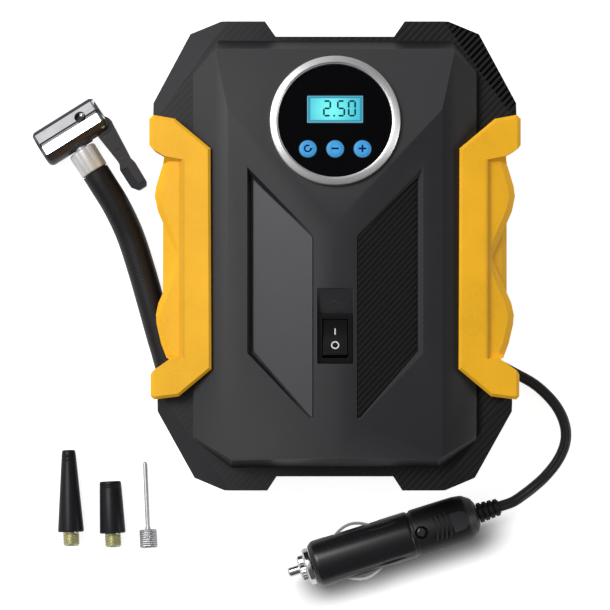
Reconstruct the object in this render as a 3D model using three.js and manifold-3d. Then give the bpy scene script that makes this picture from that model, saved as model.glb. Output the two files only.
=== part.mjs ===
// Portable tire inflator: a faceted two-shell case lying on its back, with side grips, a round
// gauge, a rocker switch, a hose with a lever chuck, a 12 V lead with its plug, and three nozzles.
// Millimetres. +X right and +Y up the front panel, +Z out of the front panel.
// The origin is on the floor plane, at the middle of the storage boss on the back.

import * as THREE from "three";
import Module from "manifold-3d";
import { mergeVertices } from "three/addons/utils/BufferGeometryUtils.js";

const wasm = await Module();
wasm.setup();

// ---------------------------------------------------------------- driving dimensions

const GAP = 0.3; // clearance between touching pieces
const CASE_BACK = 2.2; // back face of the case above the feet
const SEAM = 36; // height of the joint between the two case halves
const WALL = 2.5; // case wall

const RIM_Z = 54; // height of the rim band around the front face
const RIDGE_Z = 70; // height of the centre ridge
const SIDE_FALL = 5 / 46; // fall of the front face from the ridge to its creases
const CREASE_X = 46; // where the front face turns down to the sides
const CREASE_FALL = 6.5 / 14; // fall outside the creases
const TOP_FALL = 5 / 49.1; // fall of the gauge plane towards the top
const TOP_START_Y = 13.5; // lowest point of the gauge plane, on the ridge

const GRIP_BOTTOM = 14.5;
const PLINTH_X = 69; // half width of the case's upright plinth, which the chuck's lever swings past
const PLINTH_Z = 12.8; // height of the plinth, where the slanting sides start
const SIDE_SLANT = 0.92; // slant of the sides above the plinth
const CORE_X = 66.5; // half width of the case under the grips
const CORE_Z = [20, 58]; // height range of the case under the grips

const WELL_X = 61.5; // storage well in the back: half width
const WELL_Y = [-88.5, 80.5];
const WELL_Z = 24.4; // depth of the well from the floor
const CEILING = 2.3; // thickness of the well's ceiling
const BOSS_R = 12;

const GAUGE_Y = 57.6;
const GAUGE_R = 28;
const SWITCH_Y = -35.65;
const SWITCH_Z = 65.6; // underside of the switch bezel

const MECH_Z = 42.5; // height of the motor, crank and cylinder axes
const MOTOR_Y = -72;
const MOTOR_R = 12.5;
const MODULE = 0.9; // gear module
const GEAR_TEETH = 32;
const PINION_TEETH = 9;
const CRANK_R = 7; // half of the piston's stroke
const CYLINDER_X = -6;
const GEAR_X = -12.7; // middle of the crank gear

const HOSE_R = 6.2;
const LEAD_R = 2.4;
const COIL_OUT = 37; // centreline radius of the coil's outer turns
const COIL_PITCH = 5.3; // spacing of its turns and of its layers
const COIL_TURNS = 3.875; // turns in each layer
const COIL_LAYERS = 4;
const COIL_Z = 3.45; // centreline height of its lowest layer
const LEAD_Z = 2.45;

// ---------------------------------------------------------------- materials

const finish = (color, roughness, metalness = 0) =>
  new THREE.MeshStandardMaterial({ color, roughness, metalness });

const COLOR = {
  shell: 0x2c2c2e,
  panel: 0x3a3a3c,
  grip: 0xf5b52e,
  chrome: 0xe2e4e6,
  steel: 0xa9adb2,
  black: 0x111214,
  rubber: 0x1b1b1c,
  blue: 0x35c4ee,
  green: 0x1f6b3a,
  brass: 0xc79a4b,
  aluminium: 0xb9bcc0,
  white: 0xe8e8e4,
};

// ---------------------------------------------------------------- helpers

function solidOf(geometry) {
  const bare = geometry.index ? geometry.toNonIndexed() : geometry.clone();
  bare.deleteAttribute("normal");
  bare.deleteAttribute("uv");
  const merged = mergeVertices(bare, 1e-4);
  return new wasm.Manifold(
    new wasm.Mesh({
      numProp: 3,
      vertProperties: new Float32Array(merged.attributes.position.array),
      triVerts: new Uint32Array(merged.index.array),
    }),
  );
}

function geometryOf(solid) {
  const mesh = solid.getMesh();
  const geometry = new THREE.BufferGeometry();
  const points = new Float32Array(mesh.numVert * 3);
  for (let i = 0; i < mesh.numVert; i += 1) {
    for (let k = 0; k < 3; k += 1) {
      points[3 * i + k] = mesh.vertProperties[mesh.numProp * i + k];
    }
  }
  geometry.setAttribute("position", new THREE.BufferAttribute(points, 3));
  geometry.setIndex(new THREE.BufferAttribute(new Uint32Array(mesh.triVerts), 1));
  geometry.computeVertexNormals();
  return geometry;
}

const joined = (...solids) => solids.reduce((a, b) => a.add(b));
const cutBy = (solid, ...tools) => tools.reduce((a, b) => a.subtract(b), solid);

function shapeOf(points) {
  return new THREE.Shape(points.map(([x, y]) => new THREE.Vector2(x, y)));
}

function prism(points, z0, z1) {
  const geometry = new THREE.ExtrudeGeometry(shapeOf(points), {
    depth: z1 - z0,
    bevelEnabled: false,
  });
  return solidOf(geometry.translate(0, 0, z0));
}

function box(x0, x1, y0, y1, z0, z1) {
  const geometry = new THREE.BoxGeometry(x1 - x0, y1 - y0, z1 - z0);
  return solidOf(geometry.translate((x0 + x1) / 2, (y0 + y1) / 2, (z0 + z1) / 2));
}

const TURN = {
  x: (geometry) => geometry.rotateZ(-Math.PI / 2),
  y: (geometry) => geometry,
  z: (geometry) => geometry.rotateX(Math.PI / 2),
};

// A round bar along an axis, from a to b on it, centred at (u, v) on the other two axes.
function bar(axis, radius, a, b, u = 0, v = 0, sides = 20, endRadius = radius) {
  const geometry = new THREE.CylinderGeometry(endRadius, radius, b - a, sides);
  TURN[axis](geometry);
  const middle = (a + b) / 2;
  const place = { x: [middle, u, v], y: [u, middle, v], z: [u, v, middle] }[axis];
  return solidOf(geometry.translate(...place));
}

// A turned piece: profile points are [radius, distance along the axis].
function turned(axis, profile, sides = 20) {
  const points = profile.map(([r, a]) => new THREE.Vector2(r, a));
  if (points[0].x > 0) points.push(points[0].clone());
  const geometry = new THREE.LatheGeometry(points, sides);
  TURN[axis](geometry);
  return solidOf(geometry);
}

// Points of an outline moved outwards by d. The outline runs counterclockwise.
function grown(points, d) {
  const n = points.length;
  return points.map((p, i) => {
    const a = points[(i + n - 1) % n];
    const b = points[(i + 1) % n];
    const u = new THREE.Vector2(p[0] - a[0], p[1] - a[1]).normalize();
    const v = new THREE.Vector2(b[0] - p[0], b[1] - p[1]).normalize();
    const nu = new THREE.Vector2(u.y, -u.x);
    const nv = new THREE.Vector2(v.y, -v.x);
    const k = d / (1 + nu.dot(nv));
    return [p[0] + (nu.x + nv.x) * k, p[1] + (nu.y + nv.y) * k];
  });
}

const mirrored = (points) => points.map(([x, y]) => [-x, y]).reverse();

// Takes away everything on the outer side of a plane.
function planed(solid, point, normal) {
  const n = new THREE.Vector3(...normal).normalize();
  const size = 500;
  const turn = new THREE.Quaternion().setFromUnitVectors(new THREE.Vector3(0, 0, 1), n);
  const middle = new THREE.Vector3(...point).addScaledVector(n, size / 2);
  const block = new THREE.BoxGeometry(size, size, size);
  block.applyQuaternion(turn).translate(middle.x, middle.y, middle.z);
  return solid.subtract(solidOf(block));
}

function tube(points, radius, sides, steps, tension = 0.5) {
  const curve = new THREE.CatmullRomCurve3(
    points.map((p) => new THREE.Vector3(...p)),
    false,
    "catmullrom",
    tension,
  );
  const ring = [];
  for (let i = 0; i < sides; i += 1) {
    const a = (2 * Math.PI * i) / sides;
    ring.push([radius * Math.cos(a), radius * Math.sin(a)]);
  }
  return new THREE.ExtrudeGeometry(shapeOf(ring), { steps, extrudePath: curve });
}

const inflator = new THREE.Group();

function add(name, shape, material, parent = inflator) {
  const geometry = shape.getMesh ? geometryOf(shape) : shape;
  const mesh = new THREE.Mesh(geometry, material);
  mesh.name = name;
  parent.add(mesh);
  return mesh;
}

// ---------------------------------------------------------------- outlines of the case

const OUTLINE_RIGHT = [
  [25.2, -95.4],
  [29.2, -101.5],
  [47.8, -101.5],
  [60.9, -96.4],
  [76.8, -67.4],
  [76.8, -60],
  [78.6, 58],
  [78.6, 66.2],
  [62.7, 96.4],
  [49.3, 101.3],
  [30.2, 101.3],
  [25.6, 94.7],
];
const OUTLINE = [...OUTLINE_RIGHT, ...mirrored(OUTLINE_RIGHT)];

const FACE_RIGHT = [
  [45, -91.6],
  [61, -79.5],
  [61, 80],
  [50.2, 93],
];
const FACE = [...FACE_RIGHT, ...mirrored(FACE_RIGHT)];

// Front outline of the right grip: a C whose hooks reach round the lobed hand rest.
const GRIP_FRAME = [
  [53.1, -48.9],
  [67.2, -60.6],
  [78, -62],
  [79.4, -60.6],
  [79.4, -51.2],
  [78.4, -49.6],
  [70.4, -44],
  [65.5, -44.6],
  [65.5, 41.2],
  [73.2, 42.8],
  [78.8, 46],
  [80, 47.6],
  [80, 58.9],
  [78.3, 60.6],
  [68.8, 58.8],
  [53.5, 46],
];
const GRIP_BED = [
  [53.1, -48.9],
  [67.2, -60.6],
  [78, -62],
  [95, -64.2],
  [95, 63.8],
  [78.3, 60.6],
  [68.8, 58.8],
  [53.5, 46],
];
const LOBE_LOW = [
  [63, -44.6],
  [72.6, -44.2],
  [75, -38],
  [77, -29.5],
  [77.3, -25.5],
  [76.2, -20.5],
  [67.6, -1],
  [63, -1],
];
const LOBE_HIGH = [
  [63, -1],
  [67.6, -1],
  [76.4, 19],
  [77.8, 25.5],
  [77.2, 30],
  [75.2, 36.5],
  [73.2, 42.6],
  [63, 41.4],
];
const STRIP = [
  [63, -44],
  [74.4, -40],
  [74.4, 38.4],
  [63, 41],
];

// Recessed panel in the right half of the front face, and the pocket round it.
const POCKET = [
  [9.3, 8.6],
  [9.3, -70.5],
  [11, -69.8],
  [37.7, -41.9],
  [37.7, 38],
];
const PANEL = [
  [9.6, 7.8],
  [9.6, -69.4],
  [10.7, -69.1],
  [35.2, -41.1],
  [35.2, 32.7],
];
const PANEL_TOP = 68.8; // height of the panel at its inner edge
// Each panel's fall towards its outer edge, and how far its pocket's walls lean for each mm down.
const PANEL_SLOPES = { left: { fall: 0.235, lean: 0.55 }, right: { fall: 0.17, lean: 1.5 } };
const slopesOf = (side) => (side > 0 ? PANEL_SLOPES.right : PANEL_SLOPES.left);
const PANEL_THICK = 1.6;

// ---------------------------------------------------------------- case

const creaseZ = RIDGE_Z - CREASE_X * SIDE_FALL;

// The outer form of the case, or the same form drawn in by a wall.
function caseForm(wall) {
  const low = wall > 0 ? CASE_BACK + wall : CASE_BACK;
  const drop = wall;
  let form = prism(grown(OUTLINE, -wall), low, RIM_Z - drop);
  for (const side of [-1, 1]) {
    // long corner facets of the front and of the back
    form = planed(form, [side * 49.1, 100.4, 53 - drop], [side * 0.66, 0.477, 1]);
    form = planed(form, [side * 47.5, -100.4, 53 - drop], [side * 0.66, -0.477, 1]);
    form = planed(form, [side * (PLINTH_X - wall), 0, PLINTH_Z], [side, 0, -SIDE_SLANT]);
    form = planed(form, [side * (58 - wall), 92, PLINTH_Z], [side * 0.85, 0.5, -0.9]);
    form = planed(form, [side * (57 - wall), -92, PLINTH_Z], [side * 0.85, -0.5, -0.9]);
  }
  let plinth = prism(grown(OUTLINE, -wall), low, PLINTH_Z + 1);
  for (const side of [-1, 1]) {
    plinth = planed(plinth, [side * (PLINTH_X - wall), 0, 0], [side, 0, 0]);
    plinth = planed(plinth, [side * (58 - wall), 92, 0], [side * 0.85, 0.5, 0]);
    plinth = planed(plinth, [side * (57 - wall), -92, 0], [side * 0.85, -0.5, 0]);
  }
  form = form.add(plinth);
  let face = prism(grown(FACE, -wall), RIM_Z - 6 - drop, RIDGE_Z + 5);
  face = planed(face, [0, -91.6 + wall, RIM_Z - drop], [0, -1, 0.32]);
  face = planed(face, [0, 93 - wall, RIM_Z - drop], [0, 1, 0.5]);
  face = planed(face, [0, TOP_START_Y, RIDGE_Z - drop], [0, TOP_FALL, 1]);
  for (const side of [-1, 1]) {
    face = planed(face, [0, 0, RIDGE_Z - drop], [side * SIDE_FALL, 0, 1]);
    face = planed(face, [side * CREASE_X, 0, creaseZ - drop], [side * CREASE_FALL, 0, 1]);
    face = planed(face, [side * (61 - wall), 80, RIM_Z - drop], [side * 0.78, 0.62, 0.3]);
    face = planed(face, [side * (61 - wall), -79.5, RIM_Z - drop], [side * 0.6, -0.8, 0.3]);
  }
  return form.add(face);
}

function gripBed(side) {
  const outline = grown(GRIP_BED, GAP);
  const bed = prism(outline, GRIP_BOTTOM - GAP, RIDGE_Z + 10);
  const core = box(-CORE_X, CORE_X, -120, 120, CORE_Z[0], CORE_Z[1]);
  const low = box(40, CORE_X, -120, 120, 0, CORE_Z[0] + 1);
  const cut = bed.subtract(core).subtract(low);
  return side > 0 ? cut : cut.mirror([1, 0, 0]);
}

function caseHollow() {
  const sides = box(-64, 64, -120, 120, 0, 55.4);
  const upper = box(-50.6, 50.6, -120, 120, 50, 80);
  return caseForm(WALL).intersect(sides.add(upper));
}

// The three slanting walls of a panel pocket lean in from the face's surface.
function panelPocket(side) {
  const { fall, lean } = slopesOf(side);
  const surface = ([x, y]) => new THREE.Vector3(x, y, RIDGE_Z - x * SIDE_FALL);
  let pocket = prism(POCKET, 50, RIDGE_Z + 5);
  const edges = [
    [2, 3],
    [3, 4],
    [4, 0],
  ];
  for (const [i, j] of edges) {
    const a = surface(POCKET[i]);
    const b = surface(POCKET[j]);
    const along = b.clone().sub(a).normalize();
    const out = new THREE.Vector3(along.y, -along.x, 0).normalize();
    const down = out.clone().multiplyScalar(-lean).add(new THREE.Vector3(0, 0, -1));
    const normal = along.clone().cross(down).normalize();
    if (normal.dot(out) < 0) normal.negate();
    pocket = planed(pocket, a.toArray(), normal.toArray());
  }
  pocket = planed(pocket, [9.3, 0, PANEL_TOP - 0.05], [-fall, 0, -1]);
  let seat = prism(grown(PANEL, GAP), 50, RIDGE_Z + 5);
  seat = planed(seat, [9.3, 0, PANEL_TOP - PANEL_THICK - GAP], [-fall, 0, -1]);
  const cut = pocket.add(seat);
  return side > 0 ? cut : cut.mirror([1, 0, 0]);
}

function pocketFloor(side) {
  const { fall } = slopesOf(side);
  let floor = prism(grown(POCKET, 1.5), 50, RIDGE_Z);
  floor = planed(floor, [9.3, 0, PANEL_TOP - 0.8], [fall, 0, 1]);
  floor = planed(floor, [9.3, 0, PANEL_TOP - PANEL_THICK - GAP - 2], [-fall, 0, -1]);
  return side > 0 ? floor : floor.mirror([1, 0, 0]);
}

const gaugeTilt = -Math.atan(TOP_FALL);
const gaugeZ = RIDGE_Z - TOP_FALL * (GAUGE_Y - TOP_START_Y);

function onGauge(solid) {
  const degrees = (gaugeTilt * 180) / Math.PI;
  return solid.rotate([degrees, 0, 0]).translate([0, GAUGE_Y, gaugeZ]);
}

function switchCut() {
  const half = 7.7;
  const bezelTop = SWITCH_Y + 10.8;
  const pocket = box(-half, half, SWITCH_Y - 10.8, bezelTop, SWITCH_Z - GAP, 80);
  let ramp = box(-half, half, bezelTop - 1, -13.9, 60, 80);
  const rise = (RIDGE_Z - 0.9 - (SWITCH_Z + 0.6)) / (-13.9 - bezelTop);
  ramp = planed(ramp, [0, bezelTop, SWITCH_Z + 0.6], [0, rise, -1]);
  const hole = box(-6.5, 6.5, SWITCH_Y - 9.7, SWITCH_Y + 9.7, 55, 80);
  return joined(pocket, ramp, hole);
}

function switchFloor() {
  return box(-9.7, 9.7, SWITCH_Y - 12.8, -11.5, SWITCH_Z - GAP - 2, 67);
}

const form = caseForm(0);
const bothBeds = gripBed(1).add(gripBed(-1));

function frontCase() {
  const hollow = caseHollow();
  let shell = cutBy(form, bothBeds, hollow);
  const cup = onGauge(bar("z", GAUGE_R + 2.5, -9.2, -1.5, 0, 0, 40));
  shell = joined(shell, cup, switchFloor().intersect(form));
  for (const side of [-1, 1]) {
    shell = shell.add(pocketFloor(side).intersect(form));
    shell = shell.subtract(panelPocket(side));
  }
  shell = shell.subtract(switchCut());
  shell = shell.subtract(onGauge(bar("z", GAUGE_R + GAP, -6.7, 12, 0, 0, 40)));
  shell = shell.subtract(onGauge(bar("z", 9, -12, 0, 0, -8, 20)));
  return shell.intersect(box(-100, 100, -120, 120, SEAM + GAP / 2, 100));
}

// The slot where the hose leaves the well: round a bend, then straight on out of the left side.
const HOSE_BEND = { x: -27.5, y: -30.3, r: 50, from: 195, to: 245 };

function hoseSlot(half, z0, z1) {
  const { x, y, r, from, to } = HOSE_BEND;
  const onBend = (degrees, radius) => {
    const a = (degrees * Math.PI) / 180;
    return [x + radius * Math.cos(a), y + radius * Math.sin(a)];
  };
  const a = (from * Math.PI) / 180;
  const ahead = ([px, py]) => [px + 36 * Math.sin(a), py - 36 * Math.cos(a)];
  const inner = [];
  const outer = [];
  for (let i = 0; i <= 8; i += 1) {
    const degrees = from + ((to - from) * i) / 8;
    outer.push(onBend(degrees, r + half));
    inner.unshift(onBend(degrees, r - half));
  }
  const ends = [ahead(inner[inner.length - 1]), ahead(outer[0])];
  return prism([...outer, ...inner, ...ends], z0, z1);
}

const FITTING = { x: -54, y: -22 }; // where the hose fitting comes through the well's ceiling
const GLAND = { y: COIL_OUT, z: COIL_Z + (COIL_LAYERS - 1) * COIL_PITCH };
const FEET = [
  [40, 91],
  [-40, 91],
  [40, -95],
  [-40, -95],
];

function roundedRect(x0, x1, y0, y1, r) {
  const points = [];
  const corners = [
    [x1 - r, y1 - r, 0],
    [x0 + r, y1 - r, 90],
    [x0 + r, y0 + r, 180],
    [x1 - r, y0 + r, 270],
  ];
  for (const [cx, cy, start] of corners) {
    for (let i = 0; i <= 4; i += 1) {
      const a = ((start + i * 22.5) * Math.PI) / 180;
      points.push([cx + r * Math.cos(a), cy + r * Math.sin(a)]);
    }
  }
  return points;
}

function rearCase() {
  const hollow = caseHollow();
  const wellTop = WELL_Z + CEILING;
  const outer = roundedRect(-WELL_X - WALL, WELL_X + WALL, WELL_Y[0] - WALL, WELL_Y[1] + WALL, 26);
  const inner = roundedRect(-WELL_X, WELL_X, WELL_Y[0], WELL_Y[1], 24);
  let shell = cutBy(form, bothBeds, hollow);
  shell = shell.add(prism(outer, CASE_BACK, wellTop).intersect(form));
  shell = shell.subtract(prism(inner, -1, WELL_Z));
  const block = box(44, 57, 30.5, 43.5, 13.4, WELL_Z + 0.5);
  const boss = bar("z", BOSS_R, 0, WELL_Z + 0.5, 0, 0, 24);
  const slotWalls = joined(
    hoseSlot(HOSE_R + 3, CASE_BACK, 2 * HOSE_R + 3.2),
    box(WELL_X, 78, -51, -36, CASE_BACK, 8.6),
  );
  shell = joined(shell, boss, block, slotWalls.intersect(form).subtract(bothBeds));
  shell = cutBy(
    shell,
    bar("z", BOSS_R - WALL, WALL, 60, 0, 0, 24),
    bar("x", 3.4, 43, 52, GLAND.y, GLAND.z, 16),
    box(47, 54, GLAND.y - 3.2, GLAND.y + 3.2, 16, 60),
    bar("z", 5.3, 10, 40, FITTING.x, FITTING.y, 20),
    hoseSlot(HOSE_R + 1, -1, 2 * HOSE_R + 1.2),
    box(WELL_X - 1, 80, -49, -38, -1, 6.6),
  );
  for (const [x, y] of FEET) shell = shell.subtract(bar("z", 5.3, -1, CASE_BACK + 1.2, x, y, 20));
  return shell.intersect(box(-100, 100, -120, 120, -1, SEAM - GAP / 2));
}

add("front_case", frontCase(), finish(COLOR.shell, 0.55));
add("rear_case", rearCase(), finish(COLOR.shell, 0.6));

FEET.forEach(([x, y], i) => {
  const foot = add(
    `foot_${i + 1}`,
    turned("z", [
      [0, 0],
      [4.2, 0],
      [5, 0.8],
      [5, CASE_BACK + 0.9],
      [0, CASE_BACK + 0.9],
    ], 16),
    finish(COLOR.rubber, 0.9),
  );
  foot.position.set(x, y, 0);
});

// ---------------------------------------------------------------- grips

const GRIP_FACE = { at: [53.5, 0, 64.5], normal: [0.15, 0, 1] };
const PAD_FACE = { at: [66.8, 0, 60.2], normal: [0.3, 0, 1] };
const GRIP_RIM = 1.3; // chamfer along the grip's outline
const PAD_RIM = 1.9; // chamfer round each pad

// Height of a sloping face over a point of an outline.
function heightOn({ at, normal }, [x, y]) {
  return at[2] - ((x - at[0]) * normal[0] + (y - at[1]) * normal[1]) / normal[2];
}

// Cuts a slope along the edge from a to b of a counterclockwise outline. It starts at the
// edge, `drop` below the face, and climbs inwards by `climb` for each mm.
function sloped(solid, face, a, b, drop, climb = 1) {
  const from = new THREE.Vector3(...a, heightOn(face, a) - drop);
  const to = new THREE.Vector3(...b, heightOn(face, b) - drop);
  const along = to.clone().sub(from).normalize();
  const out = new THREE.Vector3(along.y, -along.x, 0).normalize();
  const inwards = out.clone().negate().add(new THREE.Vector3(0, 0, climb));
  const normal = along.clone().cross(inwards).normalize();
  if (normal.dot(out) < 0) normal.negate();
  return planed(solid, from.toArray(), normal.toArray());
}

function gripFrame() {
  let frame = prism(GRIP_FRAME, GRIP_BOTTOM, 80);
  frame = planed(frame, GRIP_FACE.at, GRIP_FACE.normal);
  const round = [15, 0, 1, 2, 3, 12, 13, 14, 15].map((i) => GRIP_FRAME[i]);
  for (let i = 1; i < round.length; i += 1) {
    frame = sloped(frame, GRIP_FACE, round[i - 1], round[i], GRIP_RIM);
  }
  return frame;
}

function gripPad(outline, first, last) {
  let pad = prism(outline, GRIP_BOTTOM + 2, 80);
  pad = planed(pad, PAD_FACE.at, PAD_FACE.normal);
  for (let i = first; i < last; i += 1) {
    pad = sloped(pad, PAD_FACE, outline[i], outline[i + 1], PAD_RIM);
  }
  return planed(pad, [76.5, 0, GRIP_BOTTOM + 8], [1, 0, -0.5]);
}

// The slopes that lead down to the pads from the frame's inner edge and from its two hooks.
function gripSkirts() {
  const top = { at: [53.5, 0, 64.2], normal: GRIP_FACE.normal };
  const slopes = [
    [[65.3, -45], [65.3, 42], [[63.5, -45], [67.6, -45], [67.6, 42.2], [63.5, 42.2]]],
    [[65.5, 41.4], [73.2, 43], [[63.5, 38.6], [74.2, 39.6], [73.3, 44], [63.5, 42.2]]],
    [[70.4, -44.2], [65.5, -44.8], [[63.5, -45.6], [70.9, -45.2], [73, -42.6], [63.5, -42]]],
  ];
  const skirts = slopes.map(([a, b, outline]) => {
    const skirt = planed(prism(outline, GRIP_BOTTOM + 2.5, 80), top.at, top.normal);
    const from = new THREE.Vector3(...a, heightOn(top, a));
    const along = new THREE.Vector3(...b, heightOn(top, b)).sub(from).normalize();
    const normal = new THREE.Vector3(along.y, -along.x, 0).normalize().multiplyScalar(1.4);
    normal.z = 1;
    normal.addScaledVector(along, -normal.dot(along));
    return planed(skirt, from.toArray(), normal.toArray());
  });
  return joined(...skirts);
}

function grip(side) {
  const pads = gripPad(LOBE_LOW, 1, 6).add(gripPad(LOBE_HIGH, 1, 6));
  let strip = prism(STRIP, GRIP_BOTTOM + 3, 80);
  strip = planed(strip, [68.5, 0, 56.2], [0.5, 0, 1]);
  strip = planed(strip, [72.2, 0, 54.35], [1.3, 0, 1]);
  let solid = joined(gripFrame(), pads, strip, gripSkirts());
  solid = planed(solid, [PLINTH_X, 0, PLINTH_Z], [1, 0, -SIDE_SLANT]);
  const core = CORE_X + GAP;
  solid = solid.subtract(box(-core, core, -120, 120, 0, CORE_Z[1] + GAP));
  return side > 0 ? solid : solid.mirror([1, 0, 0]);
}

add("grip_right", grip(1), finish(COLOR.grip, 0.6));
add("grip_left", grip(-1), finish(COLOR.grip, 0.6));

// ---------------------------------------------------------------- recessed panels

function panel(side) {
  const { fall } = slopesOf(side);
  let plate = prism(PANEL, 50, RIDGE_Z + 5);
  plate = planed(plate, [9.3, 0, PANEL_TOP], [fall, 0, 1]);
  plate = planed(plate, [9.3, 0, PANEL_TOP - PANEL_THICK], [-fall, 0, -1]);
  return side > 0 ? plate : plate.mirror([1, 0, 0]);
}

add("panel_right", panel(1), finish(COLOR.panel, 0.5));
add("panel_left", panel(-1), finish(COLOR.panel, 0.5));

// ---------------------------------------------------------------- gauge

const gauge = new THREE.Group();
gauge.position.set(0, GAUGE_Y, gaugeZ);
gauge.rotation.x = gaugeTilt;
inflator.add(gauge);

const FACE_R = 24.2;
const LCD = { x: 0, y: 5.1, w: 24.5, h: 12.1 };
const BUTTONS = [
  ["button_reset", -11.7],
  ["button_minus", 0],
  ["button_plus", 11.7],
];
const BUTTON_Y = -12.1;
const BUTTON_R = 3.55;

add(
  "gauge_ring",
  turned("z", [
    [24.5, -4.4],
    [28, -4.4],
    [28, 2.1],
    [27.6, 2.5],
    [25.1, 3.3],
    [24.5, 2.6],
  ], 40),
  finish(COLOR.chrome, 0.25, 1),
  gauge,
);

function gaugeFace() {
  let face = bar("z", FACE_R, -1, 1, 0, 0, 40);
  face = face.subtract(
    box(LCD.x - LCD.w / 2, LCD.x + LCD.w / 2, LCD.y - LCD.h / 2, LCD.y + LCD.h / 2, -2, 2),
  );
  for (const [, x] of BUTTONS) {
    face = face.subtract(bar("z", BUTTON_R + GAP, -2, 2, x, BUTTON_Y, 20));
  }
  return face;
}

add("gauge_face", gaugeFace(), finish(COLOR.black, 0.2), gauge);

function lcdModule() {
  const body = box(-14, 14, LCD.y - 7.6, LCD.y + 7.6, -4.5, -1.3);
  const glass = box(-LCD.w / 2 + GAP, LCD.w / 2 - GAP, LCD.y - LCD.h / 2 + GAP, LCD.y + LCD.h / 2 - GAP, -2, 0.6);
  return body.add(glass);
}

add("lcd_module", lcdModule(), finish(COLOR.blue, 0.3), gauge);
add("display_board", bar("z", 27.1, -6.4, -4.8, 0, 0, 32), finish(COLOR.green, 0.5), gauge);

for (const [name, x] of BUTTONS) {
  const cap = turned("z", [
    [0, -3.6],
    [4.7, -3.6],
    [4.7, -2.4],
    [BUTTON_R, -2.4],
    [BUTTON_R, 1.3],
    [BUTTON_R - 0.35, 1.6],
    [0, 1.6],
  ], 20);
  const mesh = add(name, cap, finish(COLOR.blue, 0.35), gauge);
  mesh.position.set(x, BUTTON_Y, 0);
}

// ---------------------------------------------------------------- rocker switch

const PIVOT_Z = 64.4;
const REST_TILT = -10; // the upper end is pressed in

function switchHousing() {
  const flange = box(-7.4, 7.4, SWITCH_Y - 10.45, SWITCH_Y + 10.45, SWITCH_Z, SWITCH_Z + 2);
  const body = box(-6.2, 6.2, SWITCH_Y - 9.4, SWITCH_Y + 9.4, 56.4, SWITCH_Z + 0.5);
  const window = box(-5.55, 5.55, SWITCH_Y - 8.45, SWITCH_Y + 8.45, 58, 80);
  const pins = bar("x", 1.3, -5.9, 5.9, SWITCH_Y, PIVOT_Z, 16);
  const blades = joined(
    box(-2.4, 2.4, SWITCH_Y + 4.6, SWITCH_Y + 5.4, 53, 56.8),
    box(-2.4, 2.4, SWITCH_Y - 5.4, SWITCH_Y - 4.6, 53, 56.8),
  );
  return cutBy(flange.add(body), window, pins).add(blades);
}

function rocker() {
  const profile = [
    [-7.75, 3.4],
    [-7.9, 0.4],
    [-7.3, -2.2],
    [-3, -4],
    [3, -4],
    [7.3, -2.2],
    [7.9, 0.4],
    [7.75, 3.4],
    [4, 2.5],
    [0, 2.1],
    [-4, 2.5],
  ];
  const geometry = new THREE.ExtrudeGeometry(shapeOf(profile), {
    depth: 10.5,
    bevelEnabled: false,
  });
  geometry.translate(0, 0, -5.25);
  geometry.rotateX(Math.PI / 2).rotateZ(Math.PI / 2);
  return solidOf(geometry).add(bar("x", 0.95, -5.7, 5.7, 0, 0, 16));
}

add("switch_housing", switchHousing(), finish(COLOR.black, 0.4));
const rockerMesh = add("switch_rocker", rocker(), finish(COLOR.black, 0.35));
rockerMesh.position.set(0, SWITCH_Y, PIVOT_Z);
rockerMesh.rotation.x = (REST_TILT * Math.PI) / 180;

// ---------------------------------------------------------------- motor and drive

const GEAR_PITCH_R = (MODULE * GEAR_TEETH) / 2;
const PINION_PITCH_R = (MODULE * PINION_TEETH) / 2;
const CRANK_Y = MOTOR_Y + GEAR_PITCH_R + PINION_PITCH_R;

// Straight-flanked teeth, thinner than half the pitch so that they run free.
// A tooth stands at the angle "phase", measured from +X of the profile.
function gearOutline(teeth, phase) {
  const pitchR = (MODULE * teeth) / 2;
  const root = pitchR - 1.0;
  const tip = pitchR + 0.62;
  const step = (2 * Math.PI) / teeth;
  const points = [];
  for (let i = 0; i < teeth; i += 1) {
    const a = phase + i * step;
    const flanks = [
      [root, -0.3],
      [tip, -0.12],
      [tip, 0.12],
      [root, 0.3],
    ];
    for (const [r, share] of flanks) {
      points.push([r * Math.cos(a + share * step), r * Math.sin(a + share * step)]);
    }
  }
  return points;
}

// A flat profile in the Y-Z plane, from x0 to x1.
function slice(points, x0, x1) {
  const geometry = new THREE.ExtrudeGeometry(shapeOf(points), {
    depth: x1 - x0,
    bevelEnabled: false,
  });
  geometry.rotateX(Math.PI / 2).rotateZ(Math.PI / 2);
  return solidOf(geometry.translate(x0, 0, 0));
}

function motorCan() {
  const can = bar("x", MOTOR_R, -55, -18, 0, 0, 24);
  const inside = bar("x", MOTOR_R - 1, -57, -20, 0, 0, 24);
  return cutBy(can, inside, bar("x", 2, -21, -17, 0, 0, 16));
}

function motorCap() {
  const cap = bar("x", MOTOR_R - 1 - GAP, -55, -53.5, 0, 0, 24);
  return cap.subtract(bar("x", 1.5, -60, -50, 0, 0, 16));
}

function armature() {
  let core = bar("x", MOTOR_R - 2.4, -47, -25, 0, 0, 20);
  for (let i = 0; i < 3; i += 1) {
    const slot = box(-48, -24, -1, 1, 5, 13).rotate([i * 120 + 60, 0, 0]);
    core = core.subtract(slot);
  }
  const commutator = bar("x", 3.4, -52.5, -46.5, 0, 0, 16);
  return joined(core, commutator, bar("x", 1.15, -62.4, -9.4, 0, 0, 12));
}

function pinion() {
  const wheel = slice(gearOutline(PINION_TEETH, 0), -15.4, -9.9);
  return wheel.subtract(bar("x", 1.45, -17, -8, 0, 0, 12));
}

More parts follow.
